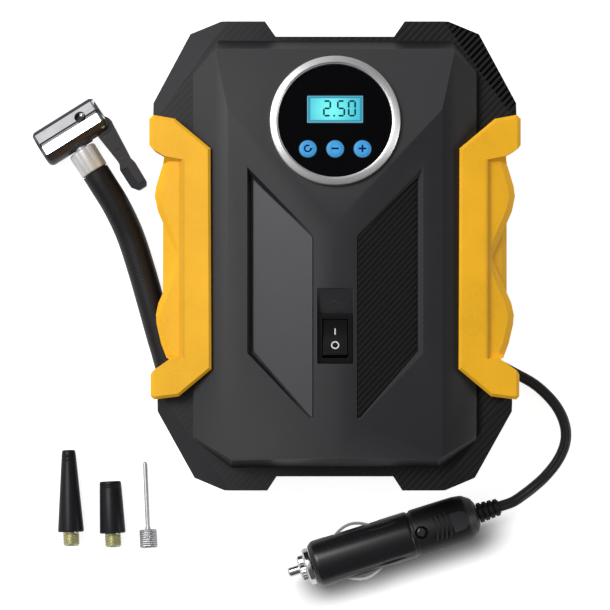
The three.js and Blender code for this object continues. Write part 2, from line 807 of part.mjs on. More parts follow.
function fan() {
  let wheel = bar("x", 3.2, -61.8, -57.2, 0, 0, 16);
  for (let i = 0; i < 7; i += 1) {
    const blade = box(-61.4, -57.6, -0.5, 0.5, 2.6, 8.4);
    wheel = wheel.add(blade.rotate([(i * 360) / 7, 0, 0]));
  }
  return wheel.subtract(bar("x", 1.45, -63, -56, 0, 0, 12));
}

const motor = new THREE.Group();
motor.position.set(0, MOTOR_Y, MECH_Z);
inflator.add(motor);
add("motor_can", motorCan(), finish(COLOR.steel, 0.35, 1), motor);
add("motor_end_cap", motorCap(), finish(COLOR.black, 0.6), motor);
add("motor_armature", armature(), finish(COLOR.steel, 0.4, 1), motor);
add("motor_pinion", pinion(), finish(COLOR.brass, 0.35, 1), motor);
add("cooling_fan", fan(), finish(COLOR.black, 0.6), motor);

const crank = new THREE.Group();
crank.position.set(0, CRANK_Y, MECH_Z);
inflator.add(crank);

// A gap between two teeth faces the pinion, whose tooth points at the crank.
function crankGear() {
  const phase = -Math.PI + Math.PI / GEAR_TEETH;
  let wheel = slice(gearOutline(GEAR_TEETH, phase), GEAR_X - 2.4, GEAR_X + 2.4);
  wheel = wheel.subtract(bar("x", 3.3, -30, 0, 0, 0, 20));
  const pin = bar("x", 1.9, GEAR_X, CYLINDER_X - 2.3, CRANK_R, 0, 16);
  const weight = bar("x", 3, GEAR_X, GEAR_X + 3.4, -CRANK_R - 1, 0, 16);
  return joined(wheel, pin, weight);
}

function crankAxle() {
  return joined(
    bar("x", 5, -20, -18, 0, 0, 20),
    bar("x", 3, -18.5, CYLINDER_X - 3, 0, 0, 20),
  );
}

add("crank_gear", crankGear(), finish(COLOR.white, 0.5), crank);
add("crank_axle", crankAxle(), finish(COLOR.steel, 0.3, 1), crank);

function driveBracket() {
  const plate = box(-17.7, -15.8, -85, -24.6, 31, 54.4);
  const shelf = box(-17.7, 6.5, -26.6, -24.6, 31, 54.4);
  return cutBy(
    plate.add(shelf),
    bar("x", 3.6, -20, -14, MOTOR_Y, MECH_Z, 16),
    bar("x", 3.3, -20, -14, CRANK_Y, MECH_Z, 20),
    bar("y", 8, -28, -20, CYLINDER_X, MECH_Z, 24),
  );
}

add("drive_bracket", driveBracket(), finish(COLOR.steel, 0.4, 1));

const pump = new THREE.Group();
pump.position.set(CYLINDER_X, 0, MECH_Z);
inflator.add(pump);

const CYLINDER_Y = [-24.3, 10];
const PISTON_Y = 7;

function cylinder() {
  const sleeve = bar("y", 11, CYLINDER_Y[0], CYLINDER_Y[1], 0, 0, 20);
  const flange = bar("y", 12, CYLINDER_Y[1] - 2.5, CYLINDER_Y[1], 0, 0, 20);
  return sleeve.add(flange).subtract(bar("y", 9.7, -40, 20, 0, 0, 20));
}

function pistonRod() {
  const eyeY = CRANK_Y + CRANK_R;
  const crown = bar("y", 9.1, PISTON_Y - 6, PISTON_Y, 0, 0, 20);
  const shank = box(-2, 2, eyeY, PISTON_Y - 5, -2.6, 2.6);
  const eye = bar("x", 4.6, -2, 2, eyeY, 0, 20);
  return joined(crown, shank, eye).subtract(bar("x", 2.2, -4, 4, eyeY, 0, 16));
}

function pistonCup() {
  return turned("y", [
    [0, PISTON_Y + GAP],
    [9.3, PISTON_Y + GAP],
    [9.5, PISTON_Y + 1.9],
    [8.6, PISTON_Y + 1.9],
    [8.2, PISTON_Y + 1.3],
    [0, PISTON_Y + 1.3],
  ], 20);
}

function cylinderHead() {
  const plate = box(-12, 12, CYLINDER_Y[1] + GAP, CYLINDER_Y[1] + 4, -12, 12);
  const dome = bar("y", 8, CYLINDER_Y[1] + 3, CYLINDER_Y[1] + 12, 0, 0, 24);
  const port = bar("x", 3.4, -15, 0, CYLINDER_Y[1] + 8, 0, 16);
  return joined(plate, dome, port);
}

add("cylinder", cylinder(), finish(COLOR.aluminium, 0.4, 1), pump);
add("piston_rod", pistonRod(), finish(COLOR.white, 0.5), pump);
add("piston_cup", pistonCup(), finish(COLOR.rubber, 0.7), pump);
add("cylinder_head", cylinderHead(), finish(COLOR.aluminium, 0.4, 1), pump);

function pressureSensor() {
  const housing = box(-4.5, 4.5, CYLINDER_Y[1] + 12 + GAP, CYLINDER_Y[1] + 18, -4, 4);
  const legs = [-2.5, 0, 2.5].map((x) => box(x - 0.3, x + 0.3, CYLINDER_Y[1] + 14, CYLINDER_Y[1] + 14.6, 3, 6.5));
  return joined(housing, ...legs);
}

add("pressure_sensor", pressureSensor(), finish(COLOR.black, 0.4), pump);

const LINE_Y = CYLINDER_Y[1] + 8;
const AIR_LINE = [
  [CYLINDER_X - 15.3, LINE_Y, MECH_Z],
  [-30, LINE_Y, MECH_Z],
  [-42, LINE_Y - 1, MECH_Z],
  [-50, LINE_Y - 5, MECH_Z],
  [-53.4, LINE_Y - 13, MECH_Z],
  [-54, LINE_Y - 22, MECH_Z],
  [-54, -12, MECH_Z - 1],
  [-54, -18, MECH_Z - 3.5],
  [-54, -21.7, MECH_Z - 6.2],
  [-54, -22, 31.9],
];

add("air_line", tube(AIR_LINE, 2.5, 8, 20), finish(COLOR.black, 0.6));

// ---------------------------------------------------------------- air hose and chuck

function hoseFitting() {
  const { x, y } = FITTING;
  const z = HOSE_R + 0.05;
  const elbow = new THREE.SphereGeometry(5, 16, 8).rotateX(Math.PI / 2);
  return joined(
    bar("z", 5, z, 31.5, x, y, 16),
    bar("z", 7.2, WELL_Z + CEILING + GAP, WELL_Z + CEILING + 3.4, x, y, 6),
    bar("y", 5, y, y + 9, x, z, 16),
    bar("y", 6.1, y + 8, y + 13.7, x, z, 12),
    solidOf(elbow.translate(x, y, z)),
  );
}

add("hose_fitting", hoseFitting(), finish(COLOR.brass, 0.35, 1));

const HOSE_Z = HOSE_R + 0.05;

// Along the floor round the well, over the lead in a low hump, out by the slot, up to the ferrule.
const HOSE_ROUTE = [
  [-54, -8, HOSE_Z],
  [-54, 2, HOSE_Z],
  [-54, 22, HOSE_Z],
  [-50.2, 41.1, HOSE_Z],
  [-39.4, 57.4, HOSE_Z],
  [-23.1, 68.2, HOSE_Z],
  [-4, 72, HOSE_Z],
  [4, 72, HOSE_Z],
  [23.1, 68.2, HOSE_Z],
  [39.4, 57.4, HOSE_Z],
  [50.2, 41.1, HOSE_Z],
  [54, 22, HOSE_Z],
  [54, 4, HOSE_Z + 0.5],
  [54, -12, HOSE_Z + 2.5],
  [54, -28.3, HOSE_Z + 4.9],
  [51.8, -43, HOSE_Z + 5.3],
  [45.5, -56.8, HOSE_Z + 3.4],
  [36, -68, HOSE_Z + 1.2],
  [22, -76.4, HOSE_Z + 0.1],
  [4, -80.3, HOSE_Z],
  [-12, -80.3, HOSE_Z],
  [-27.5, -80.3, HOSE_Z],
  [-44.6, -77.3, HOSE_Z],
  [-59.6, -68.6, HOSE_Z],
  [-70.8, -55.3, HOSE_Z],
  [-76, -40, HOSE_Z],
  [-80.7, -23.5, HOSE_Z],
  [-85.7, -6, HOSE_Z],
  [-90.8, 9.6, HOSE_Z + 0.4],
  [-96.7, 22.4, HOSE_Z + 1.6],
  [-102.9, 32.6, HOSE_Z + 2.3],
  [-106.22, 37.89, HOSE_Z + 2.35],
];

add("air_hose", tube(HOSE_ROUTE, HOSE_R, 8, 44), finish(COLOR.rubber, 0.6));

// The chuck group has its origin at the middle of the mouth, +X along the chuck to its rear.
const CHUCK_R = 8.55;
const CHUCK_LONG = 32;
const CHUCK_TURN = (32 * Math.PI) / 180;
const chuck = new THREE.Group();
chuck.position.set(-130.5, 47.3, CHUCK_R + 0.05);
chuck.rotation.z = CHUCK_TURN;
inflator.add(chuck);

const FERRULE_X = 15.6; // along the chuck
const LEVER = { x: 29.2, y: -5.6, r: 4.6, half: 3.5 };

function chuckBody() {
  let body = turned("x", [
    [0, 0],
    [7.2, 0],
    [CHUCK_R, 1.4],
    [CHUCK_R, CHUCK_LONG - 1.6],
    [7.4, CHUCK_LONG],
    [0, CHUCK_LONG],
  ], 24);
  body = body.subtract(bar("x", 5.2, -1, 4.6, 0, 0, 20));
  body = body.subtract(bar("x", 4.2, 3, 21, 0, 0, 20));
  body = body.subtract(bar("y", 3.2, -CHUCK_R - 1, -1, FERRULE_X, 0, 16));
  const port = bar("z", 1.9, 3.5, 12, 0, 0, 16).rotate([-29, 0, 0]).translate([22.7, 0, 0]);
  body = body.subtract(port);
  const room = LEVER.half + GAP;
  const slot = joined(
    box(LEVER.x - 5.2, 60, -20, LEVER.y + 5.2, -room, room),
    box(22, 60, -20, LEVER.y, -room, room),
  );
  body = body.subtract(slot);
  body = body.subtract(bar("z", 1.35, -12, 12, LEVER.x, LEVER.y, 16));
  return body;
}

add("chuck_body", chuckBody(), finish(COLOR.chrome, 0.15, 1), chuck);

add(
  "chuck_seal",
  turned("x", [
    [2.6, 0.9],
    [4.9, 0.9],
    [4.9, 4.2],
    [2.6, 4.2],
  ], 20),
  finish(COLOR.rubber, 0.8),
  chuck,
);

function plunger() {
  return joined(
    bar("x", 3.8, 13, 17.6, 0, 0, 20),
    bar("x", 1.4, 6.2, 13.5, 0, 0, 12),
  );
}

add("chuck_plunger", plunger(), finish(COLOR.brass, 0.3, 1), chuck);

add(
  "chuck_pin",
  bar("z", 1.05, -6.2, 6.2, LEVER.x, LEVER.y, 16),
  finish(COLOR.steel, 0.3, 1),
  chuck,
);

// The lever hangs beside the hose, square to the chuck.
function lever() {
  const { x, y, r, half } = LEVER;
  const arm = [
    [x - 4.4, y - 1],
    [x - 3.6, y - 8],
    [x - 2.6, y - 17],
    [x - 3.9, y - 20],
    [x - 3.6, y - 30],
    [x - 1.2, y - 32.6],
    [x + 3, y - 32],
    [x + 3.6, y - 24],
    [x + 3.2, y - 17],
    [x + 3.8, y - 9],
    [x + 4.4, y - 1],
  ];
  const head = bar("z", r, -half, half, x, y, 20);
  const blade = prism(arm, -half, half);
  return head.add(blade).subtract(bar("z", 1.35, -12, 12, x, y, 16));
}

add("chuck_lever", lever(), finish(COLOR.black, 0.45), chuck);

// Fluted crimp between the hose and the chuck.
function ferrule() {
  const outline = [];
  const flutes = 8;
  for (let i = 0; i < flutes * 4; i += 1) {
    const a = (2 * Math.PI * i) / (flutes * 4);
    const r = 6.25 + 0.35 * Math.cos(flutes * a);
    outline.push([r * Math.cos(a), r * Math.sin(a)]);
  }
  const sleeve = new THREE.ExtrudeGeometry(shapeOf(outline), { depth: 11.5, bevelEnabled: false });
  const neck = bar("z", 2.9, 11, 16, 0, 0, 16);
  return solidOf(sleeve).add(neck);
}

const ferruleMesh = add("hose_ferrule", ferrule(), finish(COLOR.chrome, 0.2, 1), chuck);
ferruleMesh.rotation.x = -Math.PI / 2;
ferruleMesh.position.set(FERRULE_X, -CHUCK_R - 12, 0);

// ---------------------------------------------------------------- 12 V lead

// The coil: one tube that spirals in and out at a steady rate, climbing a layer where it turns back.
const COIL_STEPS = 24;
const COIL_SIDES = 6;
const COIL_LEAD_IN = 24; // straight run from the gland to the first turn

function coilPoint(turns) {
  const layer = Math.min(Math.floor(turns / COIL_TURNS), COIL_LAYERS - 1);
  const into = turns - layer * COIL_TURNS;
  const inward = layer % 2 === 0;
  const radius = COIL_OUT - COIL_PITCH * (inward ? into : COIL_TURNS - into);
  let level = COIL_LAYERS - 1 - layer;
  const ease = (t) => t * t * (3 - 2 * t);
  if (layer > 0 && into < 0.25) level += 1 - ease(0.5 + 2 * into);
  if (layer < COIL_LAYERS - 1 && COIL_TURNS - into < 0.25) {
    level -= ease(0.5 - 2 * (COIL_TURNS - into));
  }
  const a = Math.PI / 2 + turns * 2 * Math.PI;
  return new THREE.Vector3(
    radius * Math.cos(a),
    radius * Math.sin(a),
    COIL_Z + level * COIL_PITCH,
  );
}

function coilLine() {
  const turns = COIL_TURNS * COIL_LAYERS;
  const line = [new THREE.Vector3(COIL_LEAD_IN, COIL_OUT, GLAND.z)];
  for (let i = 0; i <= turns * COIL_STEPS; i += 1) line.push(coilPoint(i / COIL_STEPS));
  line.push(new THREE.Vector3(2 * LEAD_R, -COIL_OUT, COIL_Z));
  return line;
}

// A closed tube along a line of points, with its section kept level.
function wound(line, radius, sides) {
  const points = [];
  const faces = [];
  const up = new THREE.Vector3(0, 0, 1);
  line.forEach((p, i) => {
    const a = line[Math.max(i - 1, 0)];
    const b = line[Math.min(i + 1, line.length - 1)];
    const along = b.clone().sub(a).normalize();
    const across = along.clone().cross(up).normalize();
    const over = across.clone().cross(along).normalize();
    for (let k = 0; k < sides; k += 1) {
      const angle = (2 * Math.PI * (k + 0.5)) / sides;
      const q = p.clone();
      q.addScaledVector(across, radius * Math.cos(angle));
      q.addScaledVector(over, radius * Math.sin(angle));
      points.push(q.x, q.y, q.z);
    }
  });
  const ring = (i, k) => i * sides + (k % sides);
  for (let i = 0; i + 1 < line.length; i += 1) {
    for (let k = 0; k < sides; k += 1) {
      faces.push(ring(i, k), ring(i + 1, k), ring(i, k + 1));
      faces.push(ring(i, k + 1), ring(i + 1, k), ring(i + 1, k + 1));
    }
  }
  const last = line.length - 1;
  for (let k = 1; k + 1 < sides; k += 1) {
    faces.push(ring(0, 0), ring(0, k), ring(0, k + 1));
    faces.push(ring(last, 0), ring(last, k + 1), ring(last, k));
  }
  const geometry = new THREE.BufferGeometry();
  geometry.setAttribute("position", new THREE.Float32BufferAttribute(points, 3));
  geometry.setIndex(faces);
  geometry.computeVertexNormals();
  return geometry;
}

// The least gap of a wound line to itself, between points more than half a turn apart.
function leastGap(line, radius) {
  const fine = [];
  for (let i = 0; i + 1 < line.length; i += 1) {
    for (let k = 0; k < 4; k += 1) fine.push(line[i].clone().lerp(line[i + 1], k / 4));
  }
  const apart = COIL_STEPS * 2;
  let least = Infinity;
  for (let i = 0; i < fine.length; i += 1) {
    for (let j = i + apart; j < fine.length; j += 1) {
      least = Math.min(least, fine[i].distanceTo(fine[j]));
    }
  }
  return least - 2 * radius;
}

const coil = coilLine();
console.log(`cord_coil least gap to itself: ${leastGap(coil, LEAD_R).toFixed(2)} mm`);
add("cord_coil", wound(coil, LEAD_R, COIL_SIDES), finish(COLOR.rubber, 0.6));

const gland = joined(
  bar("x", 3.1, 43, 48, 0, 0, 16),
  bar("x", 3, COIL_LEAD_IN + GAP, 43.7, 0, 0, 16, 5),
);
const glandMesh = add("cord_gland", gland, finish(COLOR.rubber, 0.7));
glandMesh.position.set(0, GLAND.y, GLAND.z);

// A strap round the bundle of turns, at the coil's upper left.
function strap() {
  const inner = COIL_OUT - COIL_TURNS * COIL_PITCH - LEAD_R;
  const outer = COIL_OUT + LEAD_R;
  const top = COIL_Z + (COIL_LAYERS - 1) * COIL_PITCH + LEAD_R;
  const skin = 0.6;
  const low = COIL_Z - LEAD_R - GAP - skin;
  const band = box(inner - GAP - skin, outer + GAP + skin, -4, 4, low, top + GAP + skin);
  const room = box(inner - GAP, outer + GAP, -5, 5, low + skin, top + GAP);
  return band.subtract(room);
}

const strapMesh = add("coil_strap", strap(), finish(COLOR.black, 0.8));
strapMesh.rotation.z = (135 * Math.PI) / 180;

const LEAD_ROUTE = [
  [2 * LEAD_R + GAP, -37, COIL_Z],
  [12, -37, COIL_Z - 0.1],
  [24, -37, COIL_Z - 0.6],
  [36, -37.7, LEAD_Z + 0.1],
  [48, -39.6, LEAD_Z],
  [60, -42.8, LEAD_Z],
  [71, -46.8, LEAD_Z],
  [82.3, -52.5, LEAD_Z],
  [89.5, -56.6, LEAD_Z],
  [95.3, -61.6, LEAD_Z],
  [99.7, -66.9, LEAD_Z],
  [102.6, -72.7, LEAD_Z],
  [103.8, -78.8, LEAD_Z],
  [102.9, -84.9, LEAD_Z],
  [99.7, -91.5, LEAD_Z],
  [94.4, -98, LEAD_Z + 0.6],
  [89, -102.6, LEAD_Z + 3],
  [84.2, -106, LEAD_Z + 5.9],
  [79.5, -108.9, LEAD_Z + 7.8],
  [73.97, -110.81, 10.7],
];

add("cord_lead", tube(LEAD_ROUTE, LEAD_R, 8, 40), finish(COLOR.rubber, 0.6));

// ---------------------------------------------------------------- 12 V plug

// The plug group has its origin at the tip, +X back along the plug, and lies on its barrel.
const plug = new THREE.Group();
plug.position.set(-20.5, -140.5, 10.7);
plug.rotation.z = (17.45 * Math.PI) / 180;
inflator.add(plug);

const PLUG_R = 10.5;
const BARREL = [11.5, 58];
const CONTACT = { start: 20.5, end: 45, out: 2.6, half: 2.2 };

function plugBarrel() {
  let barrel = turned("x", [
    [0, BARREL[0]],
    [8.8, BARREL[0]],
    [PLUG_R, BARREL[0] + 4],
    [PLUG_R, BARREL[1]],
    [0, BARREL[1]],
  ], 24);
  barrel = barrel.subtract(bar("x", 3, 0, 30, 0, 0, 16));
  const room = CONTACT.half + GAP;
  for (const side of [-1, 1]) {
    const slot = box(CONTACT.start - 1.5, CONTACT.end + 1.5, 4, 14, -room, room);
    barrel = barrel.subtract(side > 0 ? slot : slot.mirror([0, 1, 0]));
  }
  return barrel;
}

add("plug_barrel", plugBarrel(), finish(COLOR.black, 0.35), plug);

const SCREW_X = 62; // along the plug

function plugGrip() {
  const body = turned("x", [
    [0, BARREL[1] + GAP],
    [9.6, BARREL[1] + GAP],
    [PLUG_R, BARREL[1] + 2],
    [PLUG_R, 79],
    [9.6, 84],
    [7.2, 87.4],
    [5.2, 88.4],
    [0, 88.4],
  ], 24);
  return cutBy(
    body,
    bar("z", 2.8, 7.4, 12, SCREW_X, 0, 16),
    bar("z", 1.4, 0, 8, SCREW_X, 0, 12),
  );
}

function plugScrew() {
  const head = bar("z", 2.5, 7.7, 9.2, SCREW_X, 0, 16);
  const shank = bar("z", 1.1, 0.6, 8, SCREW_X, 0, 12);
  const cross = joined(
    box(SCREW_X - 1.6, SCREW_X + 1.6, -0.35, 0.35, 8.6, 10),
    box(SCREW_X - 0.35, SCREW_X + 0.35, -1.6, 1.6, 8.6, 10),
  );
  return head.add(shank).subtract(cross);
}

add("plug_grip", plugGrip(), finish(COLOR.black, 0.45), plug);
add("plug_screw", plugScrew(), finish(COLOR.steel, 0.35, 1), plug);

function plugRing() {
  return turned("x", [
    [2.9, 5.6],
    [4.6, 5.6],
    [5.6, 7.4],
    [8, 8.2],
    [8.8, 9.4],
    [8.8, BARREL[0] - GAP],
    [2.9, BARREL[0] - GAP],
  ], 24);
}

add("plug_ring", plugRing(), finish(COLOR.chrome, 0.3, 1), plug);

function plugTip() {
  return turned("x", [
    [0, 0],
    [1.4, 0],
    [2.2, 0.8],
    [2.2, 12.6],
    [2.65, 12.9],
    [2.65, 16],
    [0, 16],
  ], 20);
}

add("plug_tip", plugTip(), finish(COLOR.chrome, 0.25, 1), plug);

// A bowed leaf, hinged at the end nearer the tip.
function contact(side) {
  const steps = 8;
  const points = [];
  const level = 7.4;
  for (let i = 0; i <= steps; i += 1) {
    const t = i / steps;
    const x = CONTACT.start + t * (CONTACT.end - CONTACT.start);
    points.push([x, level + (PLUG_R + CONTACT.out - level) * Math.sin(Math.PI * t)]);
  }
  for (let i = steps; i >= 0; i -= 1) {
    const t = i / steps;
    const x = CONTACT.start + 0.7 + t * (CONTACT.end - CONTACT.start - 1.4);
    points.push([x, level - 0.7 + (PLUG_R + CONTACT.out - level) * Math.sin(Math.PI * t)]);
  }
  const leaf = prism(points.reverse(), -CONTACT.half, CONTACT.half);
  return side > 0 ? leaf : leaf.mirror([0, 1, 0]);
}

add("contact_upper", contact(1), finish(COLOR.chrome, 0.25, 1), plug);
add("contact_lower", contact(-1), finish(COLOR.chrome, 0.25, 1), plug);

function plugRelief() {
  const profile = [[0, 88.4 + GAP]];
  const rings = 4;
  for (let i = 0; i < rings; i += 1) {
    const x = 88.4 + GAP + i * 2.5;
    const r = 4.5 - i * 0.2;
    profile.push([r, x], [r, x + 1.6], [r - 0.8, x + 1.6], [r - 0.8, x + 2.5]);
  }
  profile.push([0, 88.4 + GAP + rings * 2.5]);
  return turned("x", profile, 14);
}

add("plug_relief", plugRelief(), finish(COLOR.rubber, 0.6), plug);

// ---------------------------------------------------------------- loose nozzles

// A nozzle lies on the floor on two rims, each [radius, distance along it from the origin].
function nozzleGroup(x, y, turn, rear, front) {
  const group = new THREE.Group();
  const dip = Math.atan((rear[0] - front[0]) / (front[1] - rear[1]));
  group.position.set(x, y, rear[0] * Math.cos(dip) + rear[1] * Math.sin(dip) + 0.03);
  group.rotation.order = "ZXY";
  group.rotation.z = turn;
  group.rotation.x = -dip;
  inflator.add(group);
  return group;
}

function cone(baseR, tipR, length, bore) {
  const shell = turned("y", [
    [0, 0],
    [baseR, 0],
    [tipR + 0.3, length - 0.6],
    [tipR - 0.3, length],
    [0, length],
  ], 20);
  const thread = bar("y", 3.4, -1, 5, 0, 0, 16);
  return cutBy(shell, thread, bar("y", bore, 4, length + 1, 0, 0, 12));
}

function threadInsert() {
  return turned("y", [
    [1.6, -6.2],
    [3.2, -6.2],
    [3.65, -5.6],
    [3.65, -0.3],
    [3.1, -0.3],
    [3.1, 4.6],
    [1.6, 4.6],
  ], 16);
}

const longNozzle = nozzleGroup(-117.3, -122.6, 0.035, [5.7, 0], [3, 36]);
add("nozzle_long", cone(5.7, 2.7, 36.6, 1.3), finish(COLOR.black, 0.5), longNozzle);
add("nozzle_long_thread", threadInsert(), finish(COLOR.brass, 0.3, 1), longNozzle);

const shortNozzle = nozzleGroup(-98.7, -123.1, 0.05, [5.8, 0], [4.8, 22.6]);
add("nozzle_short", cone(5.8, 4.5, 23.2, 2.2), finish(COLOR.black, 0.5), shortNozzle);
add("nozzle_short_thread", threadInsert(), finish(COLOR.brass, 0.3, 1), shortNozzle);

function needle() {
  return turned("y", [
    [0, -9],
    [3.9, -9],
    [3.9, -1],
    [2.6, 0],
    [1.2, 1.6],
    [0.95, 3],
    [0.95, 28.6],
    [0.5, 29.6],
    [0, 29.6],
  ], 16);
}

const needleGroup = nozzleGroup(-83.1, -120.7, 0.05, [3.9, -1], [0.95, 28.6]);
add("needle", needle(), finish(COLOR.chrome, 0.25, 1), needleGroup);

export default inflator;
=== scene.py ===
"""Looks for the portable tire inflator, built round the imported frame.

Lengths in the tables and outlines are millimetres in the part's frame, and MM turns them into metres.
"""

import math

import bmesh
import bpy
from mathutils import Matrix, Vector


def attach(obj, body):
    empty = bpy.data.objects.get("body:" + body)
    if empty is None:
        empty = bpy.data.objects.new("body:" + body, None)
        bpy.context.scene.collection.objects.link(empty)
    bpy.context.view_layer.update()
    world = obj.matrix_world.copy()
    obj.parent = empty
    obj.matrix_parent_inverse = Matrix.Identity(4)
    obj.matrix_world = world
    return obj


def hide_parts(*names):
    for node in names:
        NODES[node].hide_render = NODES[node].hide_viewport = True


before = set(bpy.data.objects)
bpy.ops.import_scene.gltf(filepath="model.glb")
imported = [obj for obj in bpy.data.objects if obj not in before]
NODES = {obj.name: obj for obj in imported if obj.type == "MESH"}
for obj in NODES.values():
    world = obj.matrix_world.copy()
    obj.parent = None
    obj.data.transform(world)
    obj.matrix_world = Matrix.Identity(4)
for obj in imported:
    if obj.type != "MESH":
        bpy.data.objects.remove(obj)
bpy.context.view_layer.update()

MM = 0.001

# ---- driving dimensions, in mm

RIM_Z = 54.0  # height of the rim band round the front face
RIM_FOOT_Z = 38.0  # the rim's slopes reach down to here
CASE_BACK = 2.2  # back face of the case
FACE_BREAK = (13.5, 70.0)  # (y, z) from which the front face falls towards its upper edge
GAUGE_FALL = 5 / 49.1  # how much it falls for each mm
GAUGE_Y = 57.6  # middle of the gauge
GAUGE_Z = FACE_BREAK[1] - GAUGE_FALL * (GAUGE_Y - FACE_BREAK[0])
SWITCH_Y = -35.65  # middle of the switch
SWITCH_TOP = 67.6
ROCKER_PIVOT_Z = 64.4
HOSE_R = 6.2
LEAD_R = 2.4
CHUCK_R = 8.55
CHUCK_LONG = 32.0
FERRULE_X = 15.6  # where the hose's ferrule joins the chuck, along it
PLUG_R = 10.5
STRIPE_SLOPE = math.radians(47)  # lean of the fine ribs on the rim and on the right panel
RIM_PITCH = 2.25
PANEL_PITCH = 1.9
PANEL_DEPTH = 0.14  # depth of the right panel's ribs

# ---- camera

CAMERA_AT = (-0.0129, -0.0213, 1.545)
LENS = 203.6
SENSOR = 36
FAR = 20


def linked(name, data):
    """A new object in the scene."""
    made = bpy.data.objects.new(name, data)
    bpy.context.scene.collection.objects.link(made)
    return made


def make_camera():
    data = bpy.data.cameras.new("camera")
    data.lens = LENS
    data.sensor_width = SENSOR
    data.clip_end = FAR
    camera = linked("camera", data)
    camera.location = CAMERA_AT
    bpy.context.scene.camera = camera


# ---- node helpers


class Nodes:
    """A short way to write a material's nodes."""

    def __init__(self, owner):
        self.owner = owner
        self.tree = owner.node_tree
        self.tree.nodes.clear()

    def add(self, kind, **values):
        node = self.tree.nodes.new(kind)
        for key, value in values.items():
            setattr(node, key, value)
        return node

    def put(self, socket, value):
        if isinstance(value, bpy.types.NodeSocket):
            self.tree.links.new(value, socket)
        elif socket.type == "RGBA" and len(value) == 3:
            socket.default_value = (*value, 1.0)
        else:
            socket.default_value = value

    def filled(self, kind, *inputs, **values):
        """A node with its first inputs set in order."""
        node = self.add(kind, **values)
        for socket, value in zip(node.inputs, inputs):
            self.put(socket, value)
        return node

    def math(self, operation, a, b=0.0):
        return self.filled("ShaderNodeMath", a, b, operation=operation).outputs[0]

    def times(self, value, *others):
        for other in others:
            value = self.math("MULTIPLY", value, other)
        return value

    def plus(self, a, b):
        return self.math("ADD", a, b)

    def minus(self, a, b):
        return self.math("SUBTRACT", a, b)

    def most(self, value, *others):
        for other in others:
            value = self.math("MAXIMUM", value, other)
        return value

    def distance(self, a, b):
        return self.math("SQRT", self.plus(self.times(a, a), self.times(b, b)))

    def dot(self, a, b):
        return self.filled("ShaderNodeVectorMath", a, b, operation="DOT_PRODUCT").outputs["Value"]

    def spread(self, value, low, high, to_low=0.0, to_high=1.0, smooth=False):
        """Moves a value from one range to another, and stops it at the ends."""
        kind = "SMOOTHSTEP" if smooth else "LINEAR"
        inputs = (value, low, high, to_low, to_high)
        return self.filled("ShaderNodeMapRange", *inputs, clamp=True, interpolation_type=kind).outputs[0]

    def vary(self, value, to_low=0.0, to_high=1.0):
        """Spreads the middle of a noise over a range."""
        return self.spread(value, 0.3, 0.7, to_low, to_high)

    def coords(self, kind="Object"):
        return self.add("ShaderNodeTexCoord").outputs[kind]

    def stretch(self, vector, scale):
        node = self.filled("ShaderNodeMapping", vector)
        node.inputs["Scale"].default_value = scale
        return node.outputs[0]

    def noise(self, vector, scale, detail=2.0, rough=0.5):
        node = self.filled("ShaderNodeTexNoise", vector)
        for key, value in (("Scale", scale), ("Detail", detail), ("Roughness", rough)):
            node.inputs[key].default_value = value
        return node.outputs["Fac"]

    def mix(self, factor, a, b):
        node = self.add("ShaderNodeMix", data_type="RGBA")
        self.put(node.inputs[0], factor)
        self.put(node.inputs[6], a)
        self.put(node.inputs[7], b)
        return node.outputs[2]

    def bump(self, height, distance, normal=None):
        node = self.add("ShaderNodeBump")
        node.inputs["Strength"].default_value = 1.0
        node.inputs["Distance"].default_value = distance
        self.put(node.inputs["Height"], height)
        if normal is not None:
            self.put(node.inputs["Normal"], normal)
        return node.outputs[0]

    def axes(self, vector):
        return tuple(self.filled("ShaderNodeSeparateXYZ", vector).outputs)

    def edges(self, radius):
        """1 on worn edges, 0 away from them."""
        rounded = self.filled("ShaderNodeBevel", radius, samples=4)
        true = self.add("ShaderNodeNewGeometry").outputs["Normal"]
        return self.spread(self.minus(1.0, self.dot(rounded.outputs[0], true)), 0.02, 0.25)

    def shader(self, **values):
        node = self.add("ShaderNodeBsdfPrincipled")
        for key, value in values.items():
            self.put(node.inputs[key.replace("_", " ")], value)
        return self.show(node)

    def show(self, node, kind="ShaderNodeOutputMaterial"):
        self.filled(kind, node.outputs[0])
        return self.owner


def material(name):
    """Nodes of a new material, and its object coordinates."""
    made = bpy.data.materials.new(name)
    made.use_nodes = True
    n = Nodes(made)
    return n, n.coords()


def tint(colour, gain):
    return tuple(c * gain for c in colour)


def linear(*shown):
    """A colour of the linear scene from the 0 to 255 values that a picture shows."""
    return tuple((v / 255 / 12.92) if v <= 10 else ((v / 255 + 0.055) / 1.055) ** 2.4 for v in shown)


# ---- materials

WORN_EDGE = 0.0005  # reach of the wear on an edge, in metres
# colour of the painted shade along the foot of the grips' frames
GRIP_SHADE = (0.62, 0.31, 0.012)
BLACK = (0.0, 0.0, 0.0)


def grip_corner_shade(n, at):
    """1 along the foot of each grip's frame, where painted shade darkens the corner."""
    x, y, _ = n.axes(at)
    side = n.math("ABSOLUTE", x)
    across = n.times(n.spread(side, 64.2 * MM, 65.0 * MM), n.spread(side, 67.6 * MM, 66.9 * MM))
    from_middle = n.math("ABSOLUTE", n.plus(y, 1.4 * MM))
    return n.times(across, n.spread(from_middle, 43.2 * MM, 42.4 * MM))


def plastic(n, at, colour, grain, patch):
    """Spark-eroded grain, scuffs, and a slightly mottled colour."""
    fine = n.noise(at, grain, 2)
    broad = n.noise(at, patch, 4, 0.6)
    scuffs = n.noise(n.stretch(at, (1, 7, 3)), 240, 3, 0.7)
    shade = n.mix(n.vary(broad), tint(colour, 0.9), tint(colour, 1.12))
    return fine, scuffs, n.mix(n.spread(fine, 0.25, 0.75, 0, 0.5), shade, tint(colour, 1.3))


